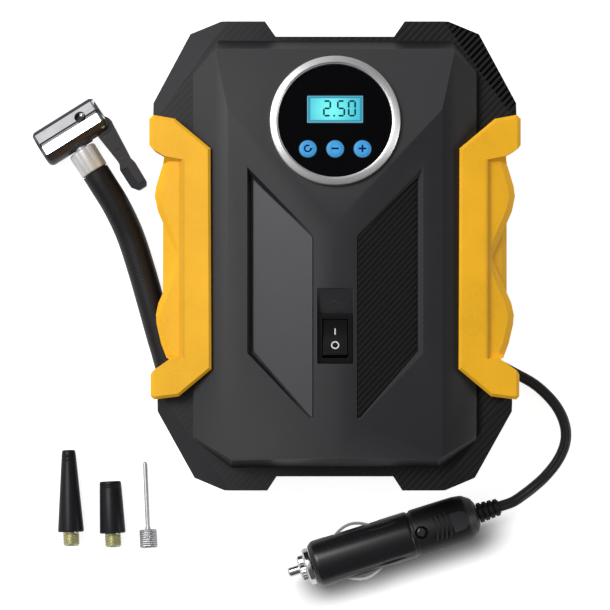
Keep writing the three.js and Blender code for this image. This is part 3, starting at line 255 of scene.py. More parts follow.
def rubbed(n, shade, scuffs, worn, radius, share):
    """The colour with its edges rubbed lighter."""
    where = n.times(n.edges(radius), n.spread(scuffs, 0.35, 0.6, 0.35, 1))
    return n.mix(n.times(where, share), shade, worn)


def scuffed(n, fine, scuffs, low, high):
    """Roughness that follows the grain, a little smoother in the scuffs."""
    return n.plus(n.vary(fine, low, high), n.spread(scuffs, 0.55, 0.72, 0.0, -0.06))


def moulded(name, colour, rough, specular=0.5, grain=2600, depth=0.00002, worn=None, painted_shade=None):
    """Moulded plastic. Its colours are given as a picture shows them."""
    n, at = material(name)
    fine, scuffs, shade = plastic(n, at, linear(*colour), grain, 38)
    # painted shade, where a mask asks for it
    if painted_shade is not None:
        shade = n.mix(n.times(painted_shade(n, at), 0.45), shade, GRIP_SHADE)
    if worn is not None:
        shade = rubbed(n, shade, scuffs, linear(*worn), WORN_EDGE, 0.55)
    return n.shader(
        Base_Color=shade,
        Roughness=scuffed(n, fine, scuffs, rough - 0.04, rough + 0.05),
        Specular_IOR_Level=specular,
        Normal=n.bump(fine, depth),
    )


def rim_pattern(n, at):
    """Height of the fine slanting ribs on the rim, and painted shade on the rim and the slopes above it,
    where their gloss is also lowered.
    """
    x, y, z = n.axes(at)
    right, up, facing = n.axes(n.add("ShaderNodeNewGeometry").outputs["True Normal"])
    low = n.math("LESS_THAN", z, (RIM_Z + 0.15) * MM)
    above = n.math("GREATER_THAN", z, RIM_FOOT_Z * MM)
    band = n.times(low, above, n.spread(facing, 0.3, 0.45))
    across = n.minus(n.times(y, math.cos(STRIPE_SLOPE)), n.times(x, math.sin(STRIPE_SLOPE)))
    wave = n.math("SINE", n.times(across, 2 * math.pi / (RIM_PITCH * MM)))
    ribs = n.times(n.spread(wave, -0.8, 0.6, 0, 1, smooth=True), band)
    # the ribs are worn faint on the left, and cut deepest on the upper right corner; their grooves get
    # painted shade in step with that depth
    corner = n.times(n.spread(x, 0.046, 0.056), n.spread(y, 0.06, 0.07), n.spread(facing, 0.93, 0.87))
    depth = n.plus(n.spread(x, -0.04, 0.03, 0.03, 0.13), n.times(corner, 0.79))
    dull_and_shade = n.times(band, depth, n.minus(1.0, ribs))
    # the whole rim band gets painted shade that deepens to the right
    dull_and_shade = n.plus(dull_and_shade, n.times(band, n.spread(x, -0.06, -0.01, 0, 0.58)))
    # the slopes from the rim up to the face get painted shade and lower gloss too, along the upper edge and
    # on the right
    over = (RIM_Z * MM, (RIM_Z + 0.3) * MM)
    upper = n.times(n.spread(up, 0.3, 0.45), n.spread(z, *over), n.spread(facing, 0.2, 0.3))
    dull_and_shade = n.plus(dull_and_shade, n.times(upper, n.spread(x, -0.06, -0.01, 0.1, 0.5)))
    # painted shade on the slopes that face right
    right_facing_shade = n.times(n.spread(right, 0.1, 0.25), n.spread(facing, 0.3, 0.45), n.spread(z, *over, 0, 0.24))
    return n.times(ribs, depth), n.plus(dull_and_shade, right_facing_shade)


def shell_material():
    """Case plastic, with fine slanting ribs moulded into the rim band and the corner facets, and painted
    shade on the rim and the slopes above it.
    """
    n, at = material("shell")
    colour = linear(37, 36, 39)
    fine, scuffs, shade = plastic(n, at, colour, 2600, 34)
    ribs, dull_and_shade = rim_pattern(n, at)
    # the rim, its rib grooves and the slopes above it are darkened with painted shade
    shade = n.mix(n.times(dull_and_shade, 0.9), shade, tint(colour, 0.15))
    return n.shader(
        Base_Color=rubbed(n, shade, scuffs, linear(88, 87, 92), 0.0006, 0.5),
        Roughness=scuffed(n, fine, scuffs, 0.42, 0.5),
        Specular_IOR_Level=n.minus(0.45, n.times(dull_and_shade, 0.4)),
        Normal=n.bump(fine, 0.00002, n.bump(ribs, 0.0004)),
    )


def metal(name, colour, rough, brushed=None, grain=900, depth=0.000012, metallic=1.0):
    """Bright metal: fine scratches, a faint cloud of handling marks, and brushing where asked."""
    n, at = material(name)
    way = n.stretch(at, brushed) if brushed else at
    lines = n.noise(way, grain, 3, 0.65)
    cloud = n.noise(at, 160, 3, 0.6)
    return n.shader(
        Base_Color=n.mix(n.spread(cloud, 0.35, 0.7), colour, tint(colour, 0.86)),
        Metallic=metallic,
        Roughness=n.plus(n.vary(lines, rough * 0.75, rough * 1.3), n.spread(cloud, 0.5, 0.75, 0.0, 0.07)),
        Normal=n.bump(lines, depth),
    )


def flank_material():
    """Plating of the chuck, polished on top, with painted dark reflections down its flanks and painted shade
    in its groove, its mouth and inside its bores.
    """
    n, at = material("chuck_plating")
    x, y, z = n.axes(at)
    scratch = n.noise(n.stretch(at, (0.1, 1, 1)), 1400, 3, 0.65)
    cloud = n.noise(at, 160, 3, 0.6)
    # painted dark reflections on the flanks, and painted shade in the groove, the mouth and the bores
    flanks = n.most(n.math("GREATER_THAN", y, 6.8 * MM), n.math("LESS_THAN", y, -3.45 * MM))
    groove = n.times(n.spread(y, 0.6 * MM, 0.7 * MM), n.spread(y, 2.5 * MM, 2.4 * MM))
    mouth = n.spread(x, 1.5 * MM, 1.3 * MM, 0, 0.9)
    bores = n.math("LESS_THAN", n.distance(y, z), 6.55 * MM)
    dark = n.most(flanks, groove, mouth, bores)
    bright = n.mix(n.spread(cloud, 0.35, 0.7), (0.92, 0.92, 0.94), (0.8, 0.8, 0.82))
    return n.shader(
        Base_Color=n.mix(dark, bright, (0.05, 0.048, 0.056)),
        Metallic=n.minus(1.0, n.times(dark, 0.7)),
        Roughness=n.plus(n.vary(scratch, 0.05, 0.13), n.times(dark, 0.16)),
        Normal=n.bump(scratch, 0.000002),
    )


def ring_material():
    """Bezel of the gauge: metal turned on a lathe, with its marks running round."""
    n, at = material("gauge_bezel")
    x, y, z = n.axes(at)
    turn = n.times(n.math("ARCTAN2", y, x), 2.0)
    spot = n.filled("ShaderNodeCombineXYZ", n.times(n.distance(x, y), 6000.0), turn, n.times(z, 6000.0))
    lines = n.noise(spot.outputs[0], 1.0, 3, 0.6)
    grains = n.noise(at, 2400, 2)
    colour = (0.9, 0.9, 0.91)
    shade = n.mix(n.vary(lines), colour, tint(colour, 0.86))
    return n.shader(
        Base_Color=n.mix(n.spread(grains, 0.4, 0.7, 0, 0.3), shade, tint(colour, 0.75)),
        Metallic=1.0,
        Roughness=n.vary(lines, 0.34, 0.46),
        Anisotropic=0.85,
        Anisotropic_Rotation=0.25,
        Tangent=n.add("ShaderNodeTangent", direction_type="RADIAL", axis="Z").outputs[0],
        Normal=n.bump(n.plus(lines, grains), 0.000012),
    )


def glass_black_material():
    """Gauge window: black gloss with faint wipe marks."""
    n, at = material("gauge_window")
    wipes = n.noise(n.stretch(at, (1, 5, 1)), 130, 4, 0.65)
    dust = n.noise(at, 1800, 2)
    return n.shader(
        Base_Color=n.mix(n.spread(dust, 0.6, 0.8), (0.0016, 0.0016, 0.0022), (0.005, 0.005, 0.006)),
        Roughness=n.spread(wipes, 0.35, 0.7, 0.12, 0.22),
        Specular_IOR_Level=0.04,
        Normal=n.bump(wipes, 0.000005),
    )


DISPLAY_Y = 5.1  # middle of the display on the gauge
DISPLAY_X_HALF = 12.25  # the window's opening for it
DISPLAY_Y_HALF = 6.05
GLASS_INSET = 0.3  # gap between the glass and the opening
LIT_X_HALF = 11.2  # the lit field inside the display's dull border
LIT_Y_HALF = 5.0


def display_material():
    """Backlit display: brighter towards the middle left, with a fine dot pattern and a dimmer border."""
    n, at = material("display")
    x, y, _ = n.axes(at)
    px = n.math("DIVIDE", n.math("ABSOLUTE", x), LIT_X_HALF * MM)
    py = n.math("DIVIDE", n.math("ABSOLUTE", n.minus(y, DISPLAY_Y * MM)), LIT_Y_HALF * MM)
    inside = n.spread(n.most(px, py), 0.92, 0.98, 1, 0)
    side_lip = n.spread(n.times(px, LIT_X_HALF / (DISPLAY_X_HALF - GLASS_INSET)), 0.965, 0.985)
    level_lip = n.spread(n.times(py, LIT_Y_HALF / (DISPLAY_Y_HALF - GLASS_INSET)), 0.93, 0.96)
    left = n.plus(n.times(x, 0.55), 0.001)
    glow = n.math("SQRT", n.plus(n.times(left, left), n.times(py, py, 0.000006)))
    bright = n.spread(glow, 0.0, 0.007, 1, 0, smooth=True)
    grid = n.noise(at, 3000, 1)
    edge = n.mix(n.most(side_lip, level_lip), linear(44, 140, 176), linear(112, 184, 204))
    body = n.mix(bright, linear(66, 196, 214), linear(125, 255, 250))
    body = n.mix(n.vary(grid, 0, 0.25), body, linear(60, 190, 210))
    shade = n.mix(inside, edge, body)
    return n.shader(
        Base_Color=n.mix(0.5, shade, BLACK),
        Roughness=n.vary(grid, 0.18, 0.26),
        Emission_Color=shade,
        Emission_Strength=0.62,
        Normal=n.bump(grid, 0.000006),
    )


def button_material():
    """Lit rubber key: brighter in the middle, with a fine grain."""
    n, at = material("button")
    x, y, _ = n.axes(at)
    from_middle = n.distance(x, y)
    grain = n.noise(at, 2600, 2)
    rim = linear(44, 146, 214)
    shade = n.mix(n.spread(from_middle, 0.0008, 0.0032), linear(58, 172, 236), rim)
    shade = n.mix(n.spread(from_middle, 0.0031, 0.0034, 0, 0.5), shade, linear(128, 206, 246))
    shade = n.mix(n.vary(grain, 0, 0.3), shade, rim)
    return n.shader(
        Base_Color=n.mix(0.35, shade, BLACK),
        Roughness=n.vary(grain, 0.4, 0.5),
        Emission_Color=shade,
        Emission_Strength=0.4,
        Normal=n.bump(grain, 0.000012),
    )


def hose_material():
    """Reinforced rubber hose: a fine crossed braid shows through its skin."""
    n, at = material("hose")
    u, v, _ = n.axes(n.coords("UV"))
    turning = n.times(u, 2 * math.pi * 22)
    along = n.times(v, 2 * math.pi / (1.7 * MM))
    braid = n.most(n.math("SINE", n.plus(turning, along)), n.math("SINE", n.minus(turning, along)))
    fine = n.noise(at, 2200, 2)
    broad = n.noise(at, 60, 4, 0.6)
    colour = linear(24, 23, 26)
    shade = n.mix(n.vary(broad), tint(colour, 0.8), tint(colour, 1.2))
    return n.shader(
        Base_Color=n.mix(n.spread(braid, 0.2, 1.0, 0, 0.5), shade, tint(colour, 1.5)),
        Roughness=n.vary(fine, 0.36, 0.46),
        Specular_IOR_Level=0.3,
        Normal=n.bump(fine, 0.000015, n.bump(braid, 0.000022)),
    )


def rubber_material(name, colour, rough=0.55, specular=0.4, depth=0.00003):
    """Soft rubber or webbing: fine grain, and dust in patches."""
    n, at = material(name)
    colour = linear(*colour)
    fine = n.noise(at, 1500, 3)
    broad = n.noise(at, 70, 4, 0.6)
    dusty = n.noise(at, 420, 4, 0.7)
    shade = n.mix(n.vary(broad), tint(colour, 0.78), tint(colour, 1.25))
    return n.shader(
        Base_Color=n.mix(n.spread(dusty, 0.6, 0.8, 0, 0.5), shade, tint(colour, 2.4)),
        Roughness=n.vary(fine, rough - 0.06, rough + 0.08),
        Specular_IOR_Level=specular,
        Normal=n.bump(fine, depth),
    )


def knurled_material():
    """Turned steel base with rows of fine knurling round it, their valleys darkened with painted shade."""
    n, at = material("knurled_steel")
    x, y, z = n.axes(at)
    rows = n.math("SINE", n.times(y, 2 * math.pi / (0.95 * MM)))
    teeth = n.math("SINE", n.times(n.math("ARCTAN2", z, x), 42.0))
    base = n.math("LESS_THAN", y, -1.2 * MM)
    pattern = n.times(n.plus(rows, n.times(teeth, 0.5)), base)
    scratch = n.noise(at, 900, 3, 0.6)
    colour = (0.7, 0.7, 0.72)
    return n.shader(
        # painted shade in the knurling's valleys
        Base_Color=n.mix(n.spread(pattern, -1.2, 0.4), tint(colour, 0.25), colour),
        Metallic=0.7,
        Roughness=n.vary(scratch, 0.22, 0.32),
        Normal=n.bump(scratch, 0.000002, n.bump(pattern, 0.00006)),
    )


def mark_material(name, colour, rough=0.5, glow=0.0, specular=0.5):
    """Printed mark: flat ink with slightly uneven cover."""
    n, at = material(name)
    colour = linear(*colour)
    cover = n.noise(at, 1400, 3, 0.6)
    return n.shader(
        Base_Color=n.mix(n.spread(cover, 0.35, 0.75), colour, tint(colour, 0.82)),
        Roughness=n.vary(cover, rough - 0.06, rough + 0.06),
        Specular_IOR_Level=specular,
        Emission_Color=colour,
        Emission_Strength=glow,
        Normal=n.bump(cover, 0.000008),
    )


def board_material():
    """Circuit board: green mask with copper showing in thin tracks."""
    n, at = material("board")
    tracks = n.filled("ShaderNodeTexBrick", at, (0.01, 0.11, 0.035), (0.014, 0.15, 0.05))
    n.put(tracks.inputs["Mortar"], (0.35, 0.42, 0.12))
    tracks.inputs["Scale"].default_value = 260
    tracks.inputs["Mortar Size"].default_value = 0.05
    return n.shader(
        Base_Color=tracks.outputs["Color"],
        Roughness=n.vary(n.noise(at, 1500, 2), 0.25, 0.4),
        Normal=n.bump(tracks.outputs["Fac"], 0.00003),
    )


def make_materials():
    charcoal = (30, 29, 32)
    along_z = (1, 1, 0.05)
    along_y = (1, 0.05, 1)
    return {
        "shell": shell_material(),
        # the side panels share one material: coloured lighter on the left as painted light, and darker on
        # the right as painted shade
        "panel": moulded("panel", (48, 46, 51), 0.36, worn=(96, 95, 100)),
        "ribbed": moulded("ribbed_panel", (15, 14, 16), 0.52, 0.2),
        # the grips get painted shade along the foot of their frames
        "grip": moulded("grip", (250, 186, 36), 0.52, 0.25, 1900, 0.00003, (255, 214, 120), grip_corner_shade),
        "chrome": metal("chrome", (0.88, 0.88, 0.9), 0.07, depth=0.000004),
        "crimp": metal("crimp_metal", (0.82, 0.82, 0.82), 0.3, along_z, depth=0.000002, metallic=0.3),
        "flanks": flank_material(),
        "bezel": ring_material(),
        "steel": metal("steel", (0.6, 0.61, 0.63), 0.3, along_z),
        "screw": metal("screw_metal", (0.1, 0.1, 0.105), 0.3),
        "zinc": metal("zinc_screw", (0.62, 0.63, 0.65), 0.32),
        "brass": metal("brass", (0.66, 0.645, 0.4), 0.28, along_y, metallic=0.6),
        "aluminium": metal("aluminium", (0.7, 0.71, 0.73), 0.38),
        "window": glass_black_material(),
        "display": display_material(),
        "button": button_material(),
        "digits": mark_material("display_digits", (4, 58, 70), 0.5, 0.2, 0.05),
        "symbol": mark_material("key_symbols", (4, 26, 88), 0.5, 0.1, 0.05),
        "white": mark_material("white_ink", (238, 238, 238), 0.5),
        "switch": moulded("switch_plastic", (16, 15, 17), 0.36, 0.14, 3000, 0.000012, (70, 69, 72)),
        "lever": moulded("lever_plastic", (34, 33, 36), 0.38, 0.5, 2400, 0.00002, (84, 83, 88)),
        "paddle": moulded("lever_pad", (22, 21, 33), 0.3, 0.5, 2400, 0.00002, (60, 59, 70)),
        "plug": moulded("plug_plastic", charcoal, 0.3, 0.5, 2600, 0.00001, (74, 73, 78)),
        "plug_grip": moulded("plug_grip_plastic", charcoal, 0.46, 0.45, 1900, 0.00004, (70, 69, 74)),
        "tongue": moulded("plug_tongue", (46, 44, 50), 0.5, 0.45, 1900, 0.00004, (80, 79, 84)),
        "nozzle": moulded("nozzle_plastic", (30, 29, 33), 0.32, 0.14, 2600, 0.00001, (76, 75, 80)),
        "hose": hose_material(),
        "lead": rubber_material("lead_sheath", charcoal, 0.42, 0.5, 0.00001),
        "rubber": rubber_material("rubber", (27, 27, 28)),
        "strap": rubber_material("strap_webbing", (24, 24, 26), 0.8, 0.2, 0.00006),
        "knurled": knurled_material(),
        "ring_nut": metal("ring_nut_metal", (0.8, 0.8, 0.81), 0.16, depth=0.000002),
        "spring": metal("spring_metal", (0.62, 0.62, 0.64), 0.2, depth=0.000002),
        "shaft": metal("needle_steel", (0.62, 0.62, 0.64), 0.34, along_y, 500, 0.000001, 0.5),
        "board": board_material(),
        "nylon": moulded("nylon", (226, 225, 220), 0.42, 0.4),
        "dark": moulded("dark_plastic", (25, 25, 27), 0.5, 0.4),
    }


# ---- outlines


def filleted(points, radius, steps=3, closed=False):
    """A line of 2-D points with its corners rounded off."""
    count = len(points)
    out = []
    for i, p in enumerate(points):
        if not closed and i in (0, count - 1):
            out.append(tuple(p))
            continue
        here = Vector(p)
        back = Vector(points[i - 1]) - here
        ahead = Vector(points[(i + 1) % count]) - here
        reach = min(radius, 0.45 * back.length, 0.45 * ahead.length)
        a = here + back.normalized() * reach
        b = here + ahead.normalized() * reach
        for k in range(steps + 1):
            t = k / steps
            out.append(tuple(a * (1 - t) ** 2 + here * 2 * t * (1 - t) + b * t * t))
    return out


def arc(cx, cy, r, start, end, steps):
    """Points on an arc, from one angle to another in degrees."""
    angles = [math.radians(start + (end - start) * k / steps) for k in range(steps + 1)]
    return [(cx + r * math.cos(a), cy + r * math.sin(a)) for a in angles]


def circle(r, count, cx=0.0, cy=0.0):
    return arc(cx, cy, r, 0, 360 - 360 / count, count - 1)


def rounded_rectangle(x0, x1, y0, y1, r, steps=6):
    corners = ((x1 - r, y1 - r), (x0 + r, y1 - r), (x0 + r, y0 + r), (x1 - r, y0 + r))
    out = []
    for k, (cx, cy) in enumerate(corners):
        out += arc(cx, cy, r, 90 * k, 90 * k + 90, steps)
    return out


def cross_outline(a, b):
    """A cross with arms of reach a and half width b."""
    lower = [(-a, -b), (-b, -b), (-b, -a), (b, -a), (b, -b), (a, -b)]
    return lower + [(-x, -y) for x, y in lower]


def ball_profile(r, steps=16):
    angles = [-math.pi / 2 + math.pi * k / steps for k in range(1, steps)]
    return [(0, -r)] + [(r * math.cos(a), r * math.sin(a)) for a in angles] + [(0, r)]


# ---- mesh helpers


def shade_smooth(mesh, degrees):
    mesh.shade_smooth()
    mesh.set_sharp_from_angle(angle=math.radians(degrees))


def from_bmesh(name, shape, *looks):
    """A mesh object from a bmesh, which is freed."""
    mesh = bpy.data.meshes.new(name)
    shape.to_mesh(mesh)
    shape.free()
    for look in looks:
        mesh.materials.append(look)
    return linked(name, mesh)


def new_object(name, verts, faces, look, degrees=35, uvs=None):
    """A mesh object from points in mm. uvs holds one (u, v) for each corner of each face."""
    mesh = bpy.data.meshes.new(name)
    mesh.from_pydata([[c * MM for c in p] for p in verts], [], faces)
    if uvs is not None:
        flat = [c for face in uvs for corner in face for c in corner]
        mesh.uv_layers.new(name="UVMap").data.foreach_set("uv", flat)
    tidy = bmesh.new()
    tidy.from_mesh(mesh)
    bmesh.ops.recalc_face_normals(tidy, faces=tidy.faces)
    tidy.to_mesh(mesh)
    tidy.free()
    mesh.materials.append(look)
    shade_smooth(mesh, degrees)
    return linked(name, mesh)


def skin(name, rings, look, degrees=35, looped=False, uvs=None):
    """A surface over rings of as many points each, capped at both ends, or looped to meet itself."""
    count = len(rings[0])
    last = len(rings)
    faces = []
    for i in range(last if looped else last - 1):
        one = i * count
        two = (i + 1) % last * count
        for k in range(count):
            j = (k + 1) % count
            faces.append([one + k, one + j, two + j, two + k])
    if not looped:
        faces.append(list(range(count))[::-1])
        faces.append([(last - 1) * count + k for k in range(count)])
    return new_object(name, [p for ring in rings for p in ring], faces, look, degrees, uvs)


def prism(name, outline, low, high, look):
    """An outline pulled up from one height to another."""
    return skin(name, [[(x, y, z) for x, y in outline] for z in (low, high)], look)


def frame_block(name, outer, inner, low, high, look):
    """A flat frame: an outer outline with an inner opening of as many points."""
    levels = ((outer, low), (outer, high), (inner, high), (inner, low))
    return skin(name, [[(x, y, z) for x, y in line] for line, z in levels], look, looped=True)


AXIS_PLACE = {
    "x": lambda r, a, c, s: (a, r * c, r * s),
    "y": lambda r, a, c, s: (r * s, a, r * c),
    "z": lambda r, a, c, s: (r * c, r * s, a),
}


def lathe(name, profile, look, axis="z", steps=96, degrees=35, wobble=None):
    """A turned piece from (radius, distance along the axis) points. wobble(angle, r, a) changes a radius."""
    place = AXIS_PLACE[axis]
    verts = []
    rings = []
    for r, a in profile:
        if r == 0:
            rings.append([len(verts)] * steps)
            verts.append(place(0, a, 1, 0))
            continue
        rings.append([len(verts) + k for k in range(steps)])
        for k in range(steps):
            angle = 2 * math.pi * k / steps
            radius = wobble(angle, r, a) if wobble else r
            verts.append(place(radius, a, math.cos(angle), math.sin(angle)))
    pairs = list(zip(rings, rings[1:]))
    if profile[0][0] > 0:
        pairs.append((rings[-1], rings[0]))
    faces = []
    for one, two in pairs:
        for k in range(steps):
            j = (k + 1) % steps
            corners = list(dict.fromkeys((one[k], one[j], two[j], two[k])))
            if len(corners) > 2:
                faces.append(corners)
    return new_object(name, verts, faces, look, degrees)


def bevelled(obj, width, segments=3, degrees=30, harden=True):
    """Rounds the edges of a piece that are sharper than an angle."""
    bevel = obj.modifiers.new("bevel", "BEVEL")
    bevel.width = width * MM
    bevel.segments = segments
    bevel.limit_method = "ANGLE"
    bevel.angle_limit = math.radians(degrees)
    bevel.harden_normals = False
    if harden:
        obj.data.shade_smooth()
        weighted = obj.modifiers.new("weighted_normals", "WEIGHTED_NORMAL")
        weighted.keep_sharp = False
        weighted.weight = 80
    return obj


def bake_modifiers(obj):
    """Puts the shape that a piece's modifiers make into its mesh."""
    bpy.context.view_layer.update()
    graph = bpy.context.evaluated_depsgraph_get()
    mesh = bpy.data.meshes.new_from_object(obj.evaluated_get(graph))
    obj.modifiers.clear()
    old = obj.data
    obj.data = mesh
    bpy.data.meshes.remove(old)
    return obj


def cut(obj, tool):
    """Cuts a tool out of a piece, and puts the result in its mesh."""
    modifier = obj.modifiers.new("cut", "BOOLEAN")
    modifier.operation = "DIFFERENCE"
    modifier.solver = "EXACT"
    modifier.object = tool
    bake_modifiers(obj)
    bpy.data.objects.remove(tool)
    return obj


def curve_points(points, steps):
    """The smooth line through the points that the part's own tubes follow."""
    pts = [Vector(p) for p in points]
    pts = [2 * pts[0] - pts[1]] + pts + [2 * pts[-1] - pts[-2]]
    out = []
    for i in range(1, len(pts) - 2):
        a, b, c, d = pts[i - 1 : i + 3]
        m0 = (c - a) * 0.5
        m1 = (d - b) * 0.5
        for t in (k / steps for k in range(steps)):
            near = b * (2 * t**3 - 3 * t**2 + 1) + m0 * (t**3 - 2 * t**2 + t)
            out.append(near + c * (-2 * t**3 + 3 * t**2) + m1 * (t**3 - t**2))
    out.append(pts[-2])
    return out


def swept(name, line, section, look):
    """A tube along a line, with its section kept level. section gives (across, up) points in mm."""
    sides = len(section)
    around = [0.0]
    for i in range(sides):
        around.append(around[-1] + (Vector(section[(i + 1) % sides]) - Vector(section[i])).length)
    rings = []
    travel = [0.0]
    for i, p in enumerate(line):
        along = (line[min(i + 1, len(line) - 1)] - line[max(i - 1, 0)]).normalized()
        across = along.cross(Vector((0, 0, 1))).normalized()
        over = across.cross(along)
        if i:
            travel.append(travel[-1] + (line[i] - line[i - 1]).length)
        rings.append([tuple(p + across * s + over * t) for s, t in section])
    uvs = []
    for v0, v1 in zip(travel, travel[1:]):
        for u0, u1 in zip(around, around[1:]):
            low, high = u0 / around[-1], u1 / around[-1]
            uvs.append([(low, v0 * MM), (high, v0 * MM), (high, v1 * MM), (low, v1 * MM)])
    uvs += [[(0.0, 0.0)] * sides] * 2
    return skin(name, rings, look, 60, uvs=uvs)


def joined(name, pieces):
    """Several mesh objects made into one, keeping their materials."""
    into = bmesh.new()
    looks = []
    for piece in pieces:
        data = piece.data.copy()
        data.transform(piece.matrix_world)
        looks += [look for look in data.materials if look not in looks]
        before = len(into.faces)
        into.from_mesh(data)
        into.faces.ensure_lookup_table()
        for face in into.faces[before:]:
            face.material_index = looks.index(data.materials[face.material_index])
    made = from_bmesh(name, into, *looks)
    for piece in pieces:
        bpy.data.objects.remove(piece)
    return made


def placed(obj, group):
    obj.matrix_world = group @ obj.matrix_world
    return obj


def finished(obj, body, slot, *nodes):
    """The piece rides on a body and hides the nodes that it replaces. Its slot is not used."""
    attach(obj, body)
    if nodes:
        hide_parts(*nodes)
    return obj


def dressed(node, look, slot, width, degrees=20, work=None):
    """A copy of a CAD node with its flat faces joined up and its edges rounded, which replaces it."""
    shape = bmesh.new()
    shape.from_mesh(NODES[node].data)
    bmesh.ops.remove_doubles(shape, verts=shape.verts, dist=2e-6)
    flat = math.radians(0.4)
    bmesh.ops.dissolve_limit(shape, angle_limit=flat, verts=shape.verts, edges=shape.edges)
    if work:
        work(shape)
    made = from_bmesh(node + "_dressed", shape, look)
    if width:
        bevelled(made, width, 3, degrees)
    return finished(made, "case", slot, node)


# ---- groups of the part


def at_mm(x, y, z):
    return Matrix.Translation((x * MM, y * MM, z * MM))


def turned(degrees, axis):
    return Matrix.Rotation(math.radians(degrees), 4, axis)


GAUGE = at_mm(0, GAUGE_Y, GAUGE_Z) @ Matrix.Rotation(-math.atan(GAUGE_FALL), 4, "X")
CHUCK = at_mm(-130.5, 47.3, CHUCK_R + 0.05) @ turned(32, "Z")
PLUG = at_mm(-20.5, -140.5, 10.7) @ turned(17.45, "Z")
ROCKER = at_mm(0, SWITCH_Y, ROCKER_PIVOT_Z) @ turned(-10, "X")


def nozzle_place(x, y, turn, rear, front):
    """A nozzle lies on the floor on two rims, each (radius, distance along it). turn is in radians."""
    dip = math.atan((rear[0] - front[0]) / (front[1] - rear[1]))
    z = rear[0] * math.cos(dip) + rear[1] * math.sin(dip) + 0.03
    return at_mm(x, y, z) @ Matrix.Rotation(turn, 4, "Z") @ Matrix.Rotation(-dip, 4, "X")


LONG_NOZZLE = nozzle_place(-117.3, -122.6, 0.035, (5.7, 0), (3, 36))
SHORT_NOZZLE = nozzle_place(-98.7, -123.1, 0.05, (5.8, 0), (4.8, 22.6))
NEEDLE = nozzle_place(-83.1, -120.7, 0.05, (3.9, -1), (0.95, 28.6))

# ---- cords


def raised(base, points):
    """Points of a cord, from heights over a base, which is where it lies on the floor."""
    return [(x, y, base + z) for x, y, z in points]


HOSE_ROUTE = raised(
    HOSE_R + 0.05,
    [(-54, -8, 0), (-54, 2, 0), (-54, 22, 0), (-50.2, 41.1, 0), (-39.4, 57.4, 0), (-23.1, 68.2, 0)]
    + [(-4, 72, 0), (4, 72, 0), (23.1, 68.2, 0), (39.4, 57.4, 0), (50.2, 41.1, 0), (54, 22, 0)]
    + [(54, 4, 0.5), (54, -12, 2.5), (54, -28.3, 4.9), (51.8, -43, 5.3), (45.5, -56.8, 3.4)]
    + [(36, -68, 1.2), (22, -76.4, 0.1), (4, -80.3, 0), (-12, -80.3, 0), (-27.5, -80.3, 0)]
    + [(-44.6, -77.3, 0), (-59.6, -68.6, 0), (-70.8, -55.3, 0), (-76, -40, 0), (-80.7, -23.5, 0)]
    + [(-85.7, -6, 0), (-90.8, 9.6, 0.4), (-96.7, 22.4, 1.6), (-102.9, 32.6, 2.3), (-106.22, 37.89, 2.35)],
)
LEAD_ROUTE = raised(
    LEAD_R + 0.05,
    [(5.1, -37, 1), (12, -37, 0.9), (24, -37, 0.4), (36, -37.7, 0.1), (48, -39.6, 0), (60, -42.8, 0)]
    + [(71, -46.8, 0), (82.3, -52.5, 0), (89.5, -56.6, 0), (95.3, -61.6, 0), (99.7, -66.9, 0)]
    + [(102.6, -72.7, 0), (103.8, -78.8, 0), (102.9, -84.9, 0), (99.7, -91.5, 0), (94.4, -98, 0.6)]
    + [(89, -102.6, 3), (84.2, -106, 5.9), (79.5, -108.9, 7.8)]
    + [(73.97, -110.81, 8.25), (68.25, -112.61, 8.25), (59.66, -115.31, 8.25)],
)

COIL_OUT = 37.0  # centreline radius of the coil's outer turns
COIL_PITCH = 5.3
COIL_TURNS = 3.875  # turns in each layer
COIL_LAYERS = 4
COIL_Z = 3.45
COIL_TOP_Z = COIL_Z + (COIL_LAYERS - 1) * COIL_PITCH
COIL_STEPS = 32
COIL_LEAD_IN = 24.0


def coil_point(turns):
    """A point of the coil, which spirals in and out and climbs a layer where it turns back."""
    layer = min(math.floor(turns / COIL_TURNS), COIL_LAYERS - 1)
    into = turns - layer * COIL_TURNS
    inwards = into if layer % 2 == 0 else COIL_TURNS - into
    radius = COIL_OUT - COIL_PITCH * inwards
    level = COIL_LAYERS - 1 - layer

    def ease(t):
        return t * t * (3 - 2 * t)

    if layer > 0 and into < 0.25:
        level += 1 - ease(0.5 + 2 * into)
    if layer < COIL_LAYERS - 1 and COIL_TURNS - into < 0.25:
        level -= ease(0.5 - 2 * (COIL_TURNS - into))
    a = math.pi / 2 + turns * 2 * math.pi
    return Vector((radius * math.cos(a), radius * math.sin(a), COIL_Z + level * COIL_PITCH))


def lead_line():
    start = Vector((COIL_LEAD_IN + 0.3, COIL_OUT, COIL_TOP_Z))
    line = [start, start * 0.5 + coil_point(0) * 0.5]
    steps = int(COIL_TURNS * COIL_LAYERS * COIL_STEPS)
    line += [coil_point(k / COIL_STEPS) for k in range(steps + 1)]
    line.append(Vector((2.4, -COIL_OUT, COIL_Z)))
    return line + curve_points(LEAD_ROUTE, 6)


def twin_section(sides=20):
    """Section of the twin lead: almost round, with a groove between its two cores, above and below."""
    out = []
    for k in range(sides):
        a = 2 * math.pi * (k + 0.5) / sides
        x = LEAD_R * math.cos(a)
        groove = 0.34 * math.exp(-((x / 0.7) ** 2))
        out.append((x, LEAD_R * math.sin(a) * (1 - groove) * 0.97))
    return out


def make_cords(look):
    line = curve_points(HOSE_ROUTE, 10)
    hose = swept("air_hose_tube", line, circle(HOSE_R, 32), look["hose"])
    finished(hose, "case", "rubber", "air_hose")
    lead = lead_line()
    cable = swept("supply_lead", lead, twin_section(), look["lead"])
    finished(cable, "case", "rubber", "cord_coil", "cord_lead")
    return hose, line, cable, lead


# ---- case, grips and panels

BACK_SCREWS = ((56, 77.5), (-56, 77.5), (56.5, -85), (-56.5, -85))
SCREW_RECESS_R = 3.1
SCREW_RECESS_TOP = CASE_BACK + 1.3
BACK_FEET = ((40, 91), (-40, 91), (40, -95), (-40, -95))


